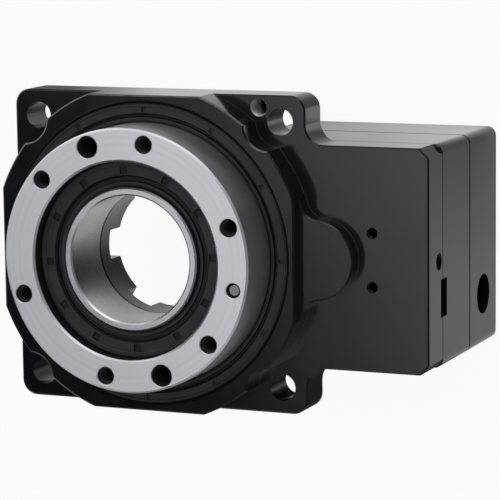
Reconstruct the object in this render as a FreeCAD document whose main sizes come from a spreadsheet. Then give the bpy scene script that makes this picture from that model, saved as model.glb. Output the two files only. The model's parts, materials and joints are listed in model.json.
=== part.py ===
import FreeCAD, Part
import math
import os
import re
import Sketcher

# Hollow rotary platform: a geared table ring turning on a crossed roller bearing round a fixed hollow sleeve.
# Frame: the turning axis is Z, the flange's rear mounting face is z = 0 and the motor side is +X.

SIZES = (
    # Square flange and the raised round body
    ("flange_thick", 13, "flange thickness at the ears"),
    ("flange_wall", 2.5, "wall between the outer seal and the flange's sides"),
    ("flange_corner_r", 5, "outer corner radius of the ears"),
    ("ear_inset", 8.28, "ear holes from the flange's sides"),
    ("ear_hole_d", 8.5, "ear hole, clearance for an 8 mm screw"),
    ("ear_gap", 2.4, "least space between an ear hole and the adapter"),
    ("scallop_r", 8, "round clearance for the screw head round each ear hole"),
    ("raised_wall", 6, "least wall of the raised body round the outer seal, cut flat by the flange's sides"),
    ("floor_thick", 4, "rear wall under the gear room"),
    ("edge_break", 0.5, "small chamfer on the outer edges"),
    ("lug_hole_in", 7.22, "tapped lifting hole beside one ear, from the ear hole along X"),
    ("lug_hole_inset", 3.9, "tapped lifting hole from the flange's side"),
    ("lug_hole_d", 5.8, "tapped lifting hole"),
    ("lug_hole_deep", 10, "depth of the lifting hole"),
    ("seat_groove_wide", 1.5, "relief groove between the mounting face and the adapter's seat"),
    ("seat_groove_deep", 0.6, "depth of the relief groove"),
    # Nose of the housing over the pinion, and the adapter behind it
    ("boss_wall", 1.54, "wall of the round boss over the pinion room"),
    ("boss_roof", 2.4, "wall in front of the pinion room"),
    ("boss_blend_r", 6, "hollow blend between the boss and the raised body"),
    ("pinion_room_gap", 0.8, "room round the pinion teeth"),
    ("pinion_end_gap", 1.8, "room in front of the pinion"),
    ("adapter_wall", 10.25, "motor screws from the adapter's sides"),
    ("adapter_corner_r", 3, "upright corner radius of the adapter"),
    ("nose_corner_cut", 3, "flat cut on the nose's far corners"),
    ("nose_blend_r", 6, "hollow blend between the flange and the nose"),
    ("bore_gap", 0.5, "space between the hollow bore and the adapter"),
    ("sensor_hole_x", 16.7, "sensor bracket holes, past the pinion axis"),
    ("sensor_hole_y", 8.4, "sensor bracket holes, either side of the middle"),
    ("sensor_hole_d", 3.6, "sensor bracket hole"),
    ("sensor_hole_deep", 8, "depth of the sensor bracket holes"),
    ("port_d", 5.4, "grease port in the end of the nose"),
    ("port_low", 0.9, "grease port below the middle"),
    ("port_level", 3.4, "grease port above the rear face"),
    ("port_deep", 9, "depth of the grease port"),
    ("pry_long", 12, "length of the pry slot in the seam"),
    ("pry_low", 12.7, "middle of the pry slot below the middle of the nose"),
    ("pry_up", 1.6, "pry slot above the seam"),
    ("pry_down", 4.2, "pry slot below the seam"),
    ("pry_deep", 4, "depth of the pry slot"),
    # Hollow sleeve and the slotted bush that ties it to the housing
    ("bore_d", 40, "hollow bore"),
    ("sleeve_wall", 2.5, "sleeve wall, under the inner seal and the bearing"),
    ("sleeve_sunk", 4, "sleeve end below the table face"),
    ("collar_wide", 3, "collar that holds the bearing's inner ring down"),
    ("collar_high", 1.5, "collar height"),
    ("sleeve_edge", 0.5, "chamfer on the sleeve's front edges"),
    ("hub_web", 4.3, "housing web between the bearing and the tie bush"),
    ("hub_wall", 2.3, "housing wall round the tie bush"),
    ("bush_rim", 2.5, "tie bush head past the sleeve"),
    ("bush_sunk", 1, "tie bush end above the mounting face"),
    ("neck_wall", 1.3, "wall of the tie bush's threaded neck"),
    ("neck_long", 4.6, "length of the neck"),
    ("joint_gap", 0.1, "seam between the bush and the sleeve inside the bore"),
    ("sleeve_end_gap", 0.4, "sleeve end above the bush head, so that the stack is clamped"),
    ("bush_slot_count", 6, "spanner slots in the tie bush"),
    ("bush_slot_wide", 9.4, "spanner slot width"),
    ("bush_slot_floor", 2, "bush head left in front of the spanner slots"),
    # Crossed roller bearing
    ("roller_d", 5, "roller diameter"),
    ("roller_space", 1.4, "least space from roller to roller"),
    ("inner_race_wall", 1.1, "inner ring between the sleeve and a roller's reach"),
    ("outer_race_wall", 1.4, "outer ring beyond a roller's reach"),
    ("race_side", 2.5, "bearing past a roller at each end"),
    ("roller_gap", 0.08, "play between a roller and its track"),
    ("roller_end_gap", 0.15, "play at a roller's ends"),
    ("race_gap", 0.5, "gap between the inner and the outer rings"),
    ("spacer_gap", 0.12, "play between a roller and its spacers"),
    # Table ring
    ("table_wall", 6.3, "table wall outside the bearing"),
    ("table_edge", 0.6, "chamfer on the table's edges"),
    ("table_turn", -11.2, "angle of the locating pin at rest"),
    ("table_lip_wide", 5, "lip between the bearing and the inner seal"),
    ("table_lip_thick", 2, "thickness of the lip"),
    ("table_hole_inset", 4.3, "bolt circle of the table's holes inside the table's edge"),
    ("table_hole_count", 6, "tapped holes in the table"),
    ("table_hole_d", 5.2, "tapped hole, core of a 6 mm thread"),
    ("table_hole_deep", 12, "depth of the table's holes"),
    ("jig_hole_d", 6.5, "two plain holes for a jig"),
    ("hole_edge", 0.4, "countersink of the table's holes"),
    ("pin_d", 4.2, "locating pin"),
    ("pin_long", 8, "length of the locating pin"),
    ("pin_sunk", 1.2, "locating pin below the table face"),
    # Seals
    ("lip_gap", 0.06, "running gap under a seal lip"),
    ("lip_edge", 0.4, "flat edge of a seal lip"),
    ("lip_root", 1, "thickness at the root of a seal lip"),
    ("lip_reach", 1.3, "main lip behind the seal's web"),
    ("lip_tail", 1, "end of the lip arm behind the main lip"),
    ("dust_lip_drop", 0.6, "dust lip below the step in the seal's face"),
    ("seal_bevel", 0.5, "bevelled outer edge of a seal"),
    ("seal_step", 1, "step in the seal's face"),
    ("seal_rim_step", 0.3, "rim of a seal in front of the rest of its face"),
    ("lip_ridge", 0.6, "ridge over a dust lip"),
    ("lip_groove", 0.8, "depth of the groove outside the ridge"),
    ("groove_slope", 0.25, "slope of the groove's sides"),
    ("seal_shell", 1.6, "wall of a seal in its seat"),
    ("seal_end_gap", 1.2, "end of a seal behind its lip arm"),
    ("inner_seal_span", 8.5, "inner seal from the sleeve to its seat"),
    ("inner_seal_sunk", 4.4, "inner seal below the table face"),
    ("inner_seal_rim", 1.6, "rim of the inner seal"),
    ("inner_seal_band", 4.7, "outer band of the inner seal's face, with its rim"),
    ("inner_seal_web", 4.4, "wall behind the inner seal's face"),
    ("dent_count", 12, "moulded pockets in a seal's face"),
    ("dent_deep", 0.8, "depth of a moulded pocket from the rim"),
    ("dent_edge", 0.3, "seal's face left inside a moulded pocket"),
    ("inner_dent_wide", 2.4, "width and radial length of the inner seal's pockets"),
    ("outer_dent_wide", 1.5, "width and radial length of the outer seal's pockets"),
    ("outer_seal_span", 6.2, "outer seal from the table to its seat"),
    ("outer_seal_sunk", 0.4, "outer seal below the raised face"),
    ("outer_seal_rim", 0.9, "rim of the outer seal"),
    ("outer_seal_band", 3.1, "outer band of the outer seal's face, with its rim"),
    ("outer_seal_web", 2.6, "wall behind the outer seal's face"),
    ("seat_chamfer", 1, "lead-in chamfer of the outer seal seat"),
    ("seal_floor_gap", 2.3, "outer seal in front of the ring gear"),
    # Helical gear pair
    ("gear_teeth", 90, "teeth of the ring gear"),
    ("pinion_teeth", 18, "teeth of the pinion"),
    ("gear_wide", 9, "ring gear width"),
    ("gear_tip_gap", 0.67, "ring gear teeth inside the outer seal's seat, to go in through it"),
    ("pinion_over", 0.5, "pinion teeth past the ring gear at each end"),
    ("helix_angle", 11.89, "helix angle of the teeth"),
    ("pressure_angle", 20, "pressure angle of the teeth"),
    ("tooth_root", 1.25, "depth of a tooth below the pitch circle, in modules"),
    ("backlash", 0.2, "play between the teeth along the pitch circle"),
    ("tooth_sag", 0.005, "most that a straight span of a tooth leaves its true helix"),
    ("gear_bite", 2.5, "ring gear under the bearing, so that it clamps it"),
    ("gear_room_gap", 0.4, "room outside the ring gear teeth"),
    ("gear_floor_gap", 1.3, "room behind the ring gear"),
    ("gear_screw_out", 3, "bolt circle of the ring gear screws outside the bearing"),
    ("gear_screw_count", 8, "ring gear screws"),
    ("gear_screw_grip", 7.5, "thread of the ring gear screws in the table"),
    # Socket screws, all of one size
    ("screw_d", 4, "screw shank"),
    ("screw_head_d", 7, "screw head"),
    ("screw_head_high", 4, "screw head height"),
    ("screw_socket", 3, "hexagon socket across flats"),
    ("socket_floor", 1.8, "screw head left under the socket"),
    ("screw_play", 0.25, "radial play of a shank or head in a plain hole"),
    ("thread_play", 0.05, "radial play of a shank in its tapped hole"),
    ("screw_head_sunk", 0.4, "screw head below the face"),
    # Gear case behind the nose
    ("case_lip", 2, "front lip that holds the pinion bearings"),
    ("case_lip_gap", 0.9, "opening in the front lip round the shaft's shoulder"),
    ("case_tail", 2.3, "gear case behind its retaining ring"),
    ("near_screw_inset", 4.5, "adapter screws near the table, from the adapter's sides"),
    ("near_screw_wall", 1.82, "wall between the gear room and the adapter screws near the table"),
    ("far_screw_inset", 5.5, "adapter screws at the far corners, from both sides"),
    ("case_screw_grip", 8, "thread of the adapter screws in the housing"),
    ("dowel_d", 4, "dowel between the housing and the gear case"),
    ("dowel_long", 12, "dowel length"),
    ("dowel_inset", 9, "dowels from the end of the nose"),
    ("dowel_y", 14, "dowels either side of the middle"),
    ("o_ring_out", 2.5, "middle of the grease seal ring outside the ball bearings"),
    ("o_ring_thick", 1.6, "thickness of the grease seal ring as fitted"),
    ("o_ring_gap", 0.3, "room beside the grease seal ring"),
    # Pinion shaft and its ball bearings
    ("motor_shaft_d", 14, "bore for the motor shaft"),
    ("motor_shaft_reach", 30, "depth of the bore for the motor shaft"),
    ("shaft_wall", 3, "wall of the hollow shaft in its bearings"),
    ("ball_bearing_span", 6, "ball bearing from its bore to its outside"),
    ("ball_bearing_wide", 7, "ball bearing width"),
    ("ball_d", 3.5, "ball diameter"),
    ("ball_count", 12, "balls in a bearing"),
    ("ball_gap", 0.08, "play between a ball and its tracks"),
    ("ball_ring_gap", 1.1, "half of the gap between the ball bearing's rings"),
    ("cage_half_thick", 0.55, "half of the ball cage thickness"),
    ("cage_side", 0.53, "ball cage beside a ball's room"),
    ("cage_gap", 0.12, "play between a ball and its cage"),
    ("spacer_long", 7.5, "spacer tube between the ball bearings"),
    ("spacer_wall", 1.4, "spacer tube wall"),
    ("clip_thick", 1.2, "retaining ring thickness"),
    ("clip_bite", 0.8, "depth of a retaining ring groove"),
    ("clip_wide", 2.4, "radial width of a retaining ring"),
    ("clip_gap", 5, "opening of a retaining ring"),
    ("shoulder_step", 1.4, "shoulder in front of the ball bearings"),
    ("shoulder_sunk", 0.4, "shoulder behind the seam"),
    ("neck_step", 1.56, "shaft behind the pinion, inside the tips of its teeth"),
    ("shaft_end_gap", 5, "shaft end inside the adapter's rear"),
    ("shaft_slit", 1.5, "width of the slits in the shaft's end"),
    ("shaft_slit_over", 2.5, "slits longer than the clamp ring is wide"),
    # Clamp ring on the shaft's end
    ("clamp_wall", 13, "clamp ring from its bore to its outside"),
    ("clamp_fit", 0.02, "radial play of the open clamp ring on the shaft"),
    ("clamp_slit", 1.5, "slit of the clamp ring"),
    ("clamp_screw_gap", 8, "clamp screw outside the shaft"),
    ("clamp_screw_seat", 3.5, "seat of the clamp screw's head from the slit's middle"),
    ("clamp_screw_grip", 9, "clamp screw beyond the slit's middle"),
    ("clamp_room_gap", 1, "room round the clamp ring"),
    # Motor flange at the rear
    ("motor_flange_long", 28, "length of the motor flange"),
    ("motor_wall", 2.5, "front wall of the motor flange"),
    ("clamp_end_room", 7, "motor flange past the clamp ring at each end"),
    ("spigot_end_gap", 0.6, "motor flange's spigot behind the retaining ring"),
    ("spigot_gap", 0.05, "radial play of the spigot"),
    ("shaft_room_gap", 2.5, "room round the shaft in the front wall"),
    ("pilot_step", 2, "seat of the motor's pilot outside the clamp ring"),
    ("pilot_deep", 4, "depth of the pilot seat"),
    ("motor_hole_out", 10, "bolt circle of the motor screws outside the pilot seat"),
    ("motor_hole_d", 4.2, "tapped hole, core of a 5 mm thread"),
    ("motor_hole_deep", 8, "depth of the motor screw holes"),
    ("access_hole_d", 13, "hole to reach the clamp screw"),
    ("seam_edge", 0.5, "chamfer on the adapter's seams"),
)

doc = FreeCAD.newDocument("hollow_rotary_platform")
dims = doc.addObject("Spreadsheet::Sheet", "dims")
for row, (alias, size, meaning) in enumerate(SIZES, 1):
    dims.set("A%d" % row, meaning)
    dims.set("B%d" % row, str(size))
    dims.setAlias("B%d" % row, alias)
doc.recompute()

ALIASES = {alias for alias, size, meaning in SIZES}
WORD = re.compile(r"[a-z_][a-z_0-9]*")

# Small formulas that several pieces share
PLAIN_HOLE_R = "(screw_d / 2 + screw_play)"
HEAD_ROOM_R = "(screw_head_d / 2 + screw_play)"
TAPPED_HOLE_R = "(screw_d / 2 + thread_play)"
HEAD_ROOM_DEEP = "(screw_head_high + screw_head_sunk)"
SOCKET_DEEP = "(screw_head_high - socket_floor)"
TOOTH_MODULE = "((outer_seal_d / 2 - gear_tip_gap) / (gear_teeth / 2 + cos(helix_angle)))"
NORMAL_MODULE = f"({TOOTH_MODULE} * cos(helix_angle))"
GEAR_TIP_R = f"({TOOTH_MODULE} * gear_teeth / 2 + {NORMAL_MODULE})"
PINION_TIP_R = f"({TOOTH_MODULE} * pinion_teeth / 2 + {NORMAL_MODULE})"
GEAR_ROOM_R = f"({GEAR_TIP_R} + gear_room_gap)"
PINION_ROOM_R = f"({PINION_TIP_R} + pinion_room_gap)"
MARGIN = "1"

# Sizes that follow from the sheet's values, so that each fit moves with the sizes it belongs to
DERIVED = {
    "sleeve_d": "bore_d + 2 * sleeve_wall",
    "sleeve_collar_d": "sleeve_d + 2 * collar_wide",
    "neck_d": "bore_d + 2 * neck_wall",
    "bush_head_d": "sleeve_d + 2 * bush_rim",
    "roller_pitch_d": "sleeve_d + 2 * (roller_d + inner_race_wall)",
    "roller_count": "2 * floor(pi * roller_pitch_d / (2 * (roller_d + roller_space)))",
    "bearing_d": "roller_pitch_d + 2 * (roller_d + outer_race_wall)",
    "bearing_wide": "roller_d + 2 * race_side",
    "table_d": "bearing_d + 2 * table_wall",
    "table_lip_d": "bearing_d - 2 * table_lip_wide",
    "table_hole_pcd": "table_d - 2 * table_hole_inset",
    "inner_seal_d": "sleeve_d + 2 * inner_seal_span",
    "inner_seal_lip": "inner_seal_web + lip_reach",
    "inner_seal_end": "inner_seal_lip + lip_edge + lip_tail",
    "inner_seal_wide": "inner_seal_end + seal_end_gap",
    "outer_seal_d": "table_d + 2 * outer_seal_span",
    "outer_seal_lip": "outer_seal_web + lip_reach",
    "outer_seal_end": "outer_seal_lip + lip_edge + lip_tail",
    "outer_seal_wide": "outer_seal_end + seal_end_gap",
    "gear_inner_d": "bearing_d - 2 * gear_bite",
    "gear_screw_pcd": "bearing_d + 2 * gear_screw_out",
    "pinion_offset": f"{TOOTH_MODULE} * (gear_teeth + pinion_teeth) / 2",
    "boss_d": f"2 * ({PINION_ROOM_R} + boss_wall)",
    "neck_shaft_d": f"2 * ({PINION_TIP_R} - neck_step)",
    "flange_side": "max(outer_seal_d + 2 * flange_wall; "
                   "adapter_side + ear_hole_d + 2 * (ear_gap + ear_inset))",
    "raised_d": "flange_side + 2 * (raised_wall - flange_wall)",
    "lug_hole_x": "flange_side / 2 - ear_inset - lug_hole_in",
    "lug_hole_y": "flange_side / 2 - lug_hole_inset",
    "journal_d": "motor_shaft_d + 2 * shaft_wall",
    "ball_bearing_d": "journal_d + 2 * ball_bearing_span",
    "cage_half_high": "ball_d / 2 + cage_gap + cage_side",
    "shoulder_d": "journal_d + 2 * shoulder_step",
    "case_lip_d": "shoulder_d + 2 * case_lip_gap",
    "case_long": "case_lip + 2 * ball_bearing_wide + spacer_long + clip_thick + case_tail",
    "o_ring_d": "ball_bearing_d + 2 * o_ring_out",
    "spigot_long": "case_tail - spigot_end_gap",
    "clamp_d": "journal_d + 2 * clamp_wall",
    "clamp_wide": "motor_flange_long - 2 * clamp_end_room",
    "clamp_screw_out": "journal_d / 2 + clamp_screw_gap",
    "shaft_tail": "motor_flange_long - shaft_end_gap",
    "shaft_slit_long": "clamp_wide + shaft_slit_over",
    "shaft_room_d": "journal_d + 2 * shaft_room_gap",
    "pilot_d": "clamp_d + 2 * pilot_step",
    "motor_pcd": "pilot_d + 2 * motor_hole_out",
    "adapter_side": "motor_pcd / sqrt(2) + 2 * adapter_wall",
    "near_screw_y": "adapter_side / 2 - near_screw_inset",
    "near_screw_x": f"sqrt(({GEAR_ROOM_R} + {TAPPED_HOLE_R} + near_screw_wall)^2 - near_screw_y^2)",
}

# Levels along Z and places
EAR_LEVEL = "flange_thick"
GEAR_LOW = "(floor_thick + gear_floor_gap)"
BEARING_LOW = f"({GEAR_LOW} + gear_wide)"
BEARING_HIGH = f"({BEARING_LOW} + bearing_wide)"
ROLLER_LEVEL = f"({BEARING_LOW} + bearing_wide / 2)"
OUTER_SEAL_LOW = f"({BEARING_LOW} + seal_floor_gap)"
OUTER_SEAL_HIGH = f"({OUTER_SEAL_LOW} + outer_seal_wide)"
RAISED_LEVEL = f"({OUTER_SEAL_HIGH} + outer_seal_sunk)"
INNER_SEAL_LOW = f"({BEARING_HIGH} + table_lip_thick)"
INNER_SEAL_HIGH = f"({INNER_SEAL_LOW} + inner_seal_wide)"
TABLE_FACE = f"({INNER_SEAL_HIGH} + inner_seal_sunk)"
PINION_LOW = f"({GEAR_LOW} - pinion_over)"
PINION_HIGH = f"({BEARING_LOW} + pinion_over)"
BOSS_LEVEL = f"({PINION_HIGH} + pinion_end_gap + boss_roof)"
BUSH_HEAD_HIGH = f"({BEARING_LOW} - hub_web)"
SLEEVE_LOW = f"({BUSH_HEAD_HIGH} + sleeve_end_gap)"
SLEEVE_HIGH = f"({TABLE_FACE} - sleeve_sunk)"
BUSH_JOINT = f"({BUSH_HEAD_HIGH} + neck_long)"
BUSH_ROOM_R = "(bush_head_d / 2 + screw_play)"
HUB_R = f"({BUSH_ROOM_R} + hub_wall)"
NOSE_END = "(pinion_offset + adapter_side / 2)"
ADAPTER_NEAR = "(bore_d / 2 + bore_gap)"
FRONT_BEARING_LOW = "(0 - case_lip - ball_bearing_wide)"
REAR_BEARING_LOW = f"({FRONT_BEARING_LOW} - spacer_long - ball_bearing_wide)"
CLIP_LOW = f"({REAR_BEARING_LOW} - clip_thick)"
SHAFT_LOW = "(0 - case_long - shaft_tail)"
ADAPTER_REAR = "(0 - case_long - motor_flange_long)"
CLAMP_LEVEL = "(0 - case_long - motor_flange_long / 2)"
CLAMP_ROOM_R = "(clamp_d / 2 + clamp_room_gap)"
BALL_PITCH_R = "((journal_d + ball_bearing_d) / 4)"
EAR_STEP = "(flange_side / 2 - ear_inset)"
MOTOR_STEP = "(motor_pcd / sqrt(8))"


def tied(formula):
    """Formula with each derived size worked out and each size read from the sheet."""
    def spelled(found):
        word = found.group(0)
        if word in DERIVED:
            return "(%s)" % tied(DERIVED[word])
        return "dims." * (word in ALIASES) + word

    return WORD.sub(spelled, formula)


def number(formula):
    """Present value of a formula."""
    answer = dims.evalExpression(tied(formula))
    return float(getattr(answer, "Value", answer))


def bind(thing, setting, formula):
    thing.setExpression(setting, tied(formula))


def place(thing, x, y, z):
    for axis, formula in zip("xyz", (x, y, z)):
        bind(thing, "Placement.Base." + axis, formula)


def cylinder(name, radius, low, high, x="0", y="0"):
    """Upright round bar between two levels."""
    bar = doc.addObject("Part::Cylinder", name)
    bind(bar, "Radius", radius)
    bind(bar, "Height", f"{high} - {low}")
    place(bar, x, y, low)
    return bar


def bar_along_x(name, radius, near, far, y, z):
    """Round bar lying along X."""
    bar = doc.addObject("Part::Cylinder", name)
    bind(bar, "Radius", radius)
    bind(bar, "Height", f"{far} - {near}")
    bar.Placement.Rotation = FreeCAD.Rotation(FreeCAD.Vector(0, 1, 0), 90)
    place(bar, near, y, z)
    return bar


def block(name, x_span, y_span, z_span):
    """Box between two corners."""
    box = doc.addObject("Part::Box", name)
    for setting, (low, high) in zip(("Length", "Width", "Height"), (x_span, y_span, z_span)):
        bind(box, setting, f"{high} - {low}")
    place(box, x_span[0], y_span[0], z_span[0])
    return box


def fused(name, pieces):
    union = doc.addObject("Part::MultiFuse", name)
    union.Shapes = pieces
    union.Refine = True
    return union


def shared(name, pieces):
    overlap = doc.addObject("Part::MultiCommon", name)
    overlap.Shapes = pieces
    overlap.Refine = True
    return overlap


def cut(name, base, tools):
    """Base with all the tools taken away."""
    difference = doc.addObject("Part::Cut", name)
    difference.Base = base
    difference.Tool = tools[0] if len(tools) == 1 else fused(name + "_cuts", tools)
    difference.Refine = True
    return difference


def group(name, pieces):
    """Like pieces kept as separate solids in one node."""
    like_pieces = doc.addObject("Part::Compound", name)
    like_pieces.Links = pieces
    return like_pieces


def ring(name, outer, inner, low, high, x="0", y="0"):
    return cut(name, cylinder(name + "_outside", outer, low, high, x, y),
               [cylinder(name + "_inside", inner, f"({low} - {MARGIN})", f"({high} + {MARGIN})", x, y)])


def is_upright(edge):
    first, last = edge.Vertexes[0].Point, edge.Vertexes[-1].Point
    return math.hypot(first.x - last.x, first.y - last.y) < 1e-6 < abs(first.z - last.z)


def is_level(edge, level):
    return max(abs(vertex.Z - level) for vertex in edge.Vertexes) < 1e-6 and edge.Length > 1e-6


def middle_of(edge):
    return edge.valueAt((edge.FirstParameter + edge.LastParameter) / 2)


def edges_where(base, test):
    doc.recompute()
    return [index for index, edge in enumerate(base.Shape.Edges, 1) if test(edge)]


def rounded(name, base, radius, test):
    """Fillet on the edges that pass the test."""
    fillet = doc.addObject("Part::Fillet", name)
    fillet.Base = base
    fillet.Edges = [(index, number(radius), number(radius)) for index in edges_where(base, test)]
    return fillet


def bevelled(name, base, width, test):
    """Chamfer on the edges that pass the test."""
    chamfer = doc.addObject("Part::Chamfer", name)
    chamfer.Base = base
    chamfer.Edges = [(index, number(width), number(width)) for index in edges_where(base, test)]
    return chamfer


def origin_feature(body, role):
    return next(feature for feature in body.Origin.OriginFeatures if feature.Role == role)


def new_sketch(body, name, role):
    sketch = body.newObject("Sketcher::SketchObject", name)
    sketch.AttachmentSupport = [(origin_feature(body, role), "")]
    sketch.MapMode = "FlatFace"
    return sketch


def hold(sketch, kind, formula, *where):
    """Dimension tied to the sheet."""
    index = sketch.addConstraint(Sketcher.Constraint(kind, *where, number(formula)))
    sketch.setExpression("Constraints[%d]" % index, tied(formula))


def hold_point(sketch, geometry, point, x, y):
    """Point held at its distances from the sketch's axes."""
    for kind, axis, formula in (("DistanceX", -2, x), ("DistanceY", -1, y)):
        if formula == "0":
            sketch.addConstraint(Sketcher.Constraint("PointOnObject", geometry, point, axis))
        else:
            hold(sketch, kind, formula, -1, 1, geometry, point)


def outline(body, name, role, corners):
    """Sketch of a closed outline through its corners."""
    sketch = new_sketch(body, name, role)
    points = [FreeCAD.Vector(number(x), number(y), 0) for x, y in corners]
    for start, end in zip(points, points[1:] + points[:1]):
        sketch.addGeometry(Part.LineSegment(start, end))
    for index in range(len(points)):
        sketch.addConstraint(Sketcher.Constraint("Coincident", index, 2, (index + 1) % len(points), 1))
    for index, (x, y) in enumerate(corners):
        hold_point(sketch, index, 1, x, y)
    return sketch


def turned(name, corners, level, x="0"):
    """Body turned from a closed outline of (radius, height) corners, its height counted from the level."""
    body = doc.addObject("PartDesign::Body", name)
    sketch = outline(body, name + "_outline", "XZ_Plane", corners)
    revolution = body.newObject("PartDesign::Revolution", name + "_turning")
    revolution.Profile = sketch
    revolution.ReferenceAxis = (sketch, ["V_Axis"])
    revolution.Angle = 360
    place(body, x, "0", level)
    doc.recompute()
    return body


def pocketed(body, name, sketch, deep, count="1", upward=False):
    """Pocket of a sketch in a body, repeated round the body's own axis."""
    before = body.Shape.Volume
    pocket = body.newObject("PartDesign::Pocket", name)
    pocket.Profile = sketch
    pocket.Reversed = upward
    bind(pocket, "Length", deep)
    doc.recompute()
    if body.Shape.Volume >= before:
        raise RuntimeError(name + " cuts nothing")
    if count != "1":
        pattern = body.newObject("PartDesign::PolarPattern", name + "_pattern")
        pattern.Originals = [pocket]
        pattern.Axis = (origin_feature(body, "Z_Axis"), [""])
        pattern.Angle = 360
        body.Tip = pattern
        bind(pattern, "Occurrences", count)
        doc.recompute()


def drilled(body, name, diameter, deep, x, y, level, count="1"):
    """Round hole down from a level of the body, repeated round the body's own axis."""
    sketch = new_sketch(body, name + "_circle", "XY_Plane")
    bind(sketch, "AttachmentOffset.Base.z", level)
    centre = FreeCAD.Vector(number(x), number(y), 0)
    sketch.addGeometry(Part.Circle(centre, FreeCAD.Vector(0, 0, 1), number(diameter) / 2))
    hold(sketch, "Diameter", diameter, 0)
    hold_point(sketch, 0, 3, x, y)
    pocketed(body, name, sketch, deep, count)


def hole_mouth(name, radius, width, level, x="0", y="0"):
    """Cone that opens a hole's mouth below a level."""
    mouth = doc.addObject("Part::Cone", name)
    bind(mouth, "Radius1", radius)
    bind(mouth, "Radius2", f"{radius} + {width}")
    bind(mouth, "Height", width)
    place(mouth, x, y, f"({level} - {width})")
    return mouth


def socket_screw(name, x, y, seat, shank, head_down):
    """Socket head screw along Z from its seat: the head on one side and the shank on the other."""
    way = "0 - " if head_down else "0 + "
    head_end = f"({seat} + ({way}screw_head_high))"
    socket_end = f"({head_end} - ({way}{SOCKET_DEEP}))"
    shank_end = f"({seat} - ({way}{shank}))"
    low_head, high_head = (head_end, seat) if head_down else (seat, head_end)
    low_shank, high_shank = (seat, shank_end) if head_down else (shank_end, seat)
    low_socket = head_end if head_down else socket_end
    head = cylinder(name + "_head", "screw_head_d / 2", low_head, high_head, x, y)
    body = cylinder(name + "_shank", "screw_d / 2", low_shank, high_shank, x, y)
    socket = doc.addObject("Part::Prism", name + "_socket")
    socket.Polygon = 6
    bind(socket, "Circumradius", "screw_socket / sqrt(3)")
    bind(socket, "Height", SOCKET_DEEP)
    place(socket, x, y, low_socket)
    return cut(name, fused(name + "_blank", [head, body]), [socket])


def on_circle(pcd, count, start="0"):
    """Pairs of formulas for the places on a bolt circle."""
    for index in range(int(number(count))):
        angle = f"({start} + {index} * 360 / {count})"
        yield f"({pcd} / 2 * cos({angle}))", f"({pcd} / 2 * sin({angle}))"


def four_corners(step):
    for x_sign in ("", "0 - "):
        for y_sign in ("", "0 - "):
            yield f"({x_sign}{step})", f"({y_sign}{step})"


def adapter_screw_places():
    for sign in ("", "0 - "):
        yield "near_screw_x", f"({sign}near_screw_y)"
        yield f"({NOSE_END} - far_screw_inset)", f"({sign}(adapter_side / 2 - far_screw_inset))"


def dowel_places():
    for sign in ("", "0 - "):
        yield f"({NOSE_END} - dowel_inset)", f"({sign}dowel_y)"


def pry_slot(name, low, high):
    half = "pry_long / 2"
    return block(name, (f"({NOSE_END} - pry_deep)", f"({NOSE_END} + {MARGIN})"),
                 (f"(0 - pry_low - {half})", f"(0 - pry_low + {half})"), (low, high))


def seat_groove(seat_span):
    """Relief groove in the rear, along the near side and both ends of the adapter's seat."""
    levels = (f"(0 - {MARGIN})", "seat_groove_deep")
    around = block("seat_groove_outside", (f"({ADAPTER_NEAR} - seat_groove_wide)", NOSE_END),
                   (f"({seat_span[0]} - seat_groove_wide)", f"({seat_span[1]} + seat_groove_wide)"), levels)
    seat = block("seat_groove_inside", (ADAPTER_NEAR, f"({NOSE_END} + {MARGIN})"), seat_span, levels)
    return cut("seat_groove", around, [seat])


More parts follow.
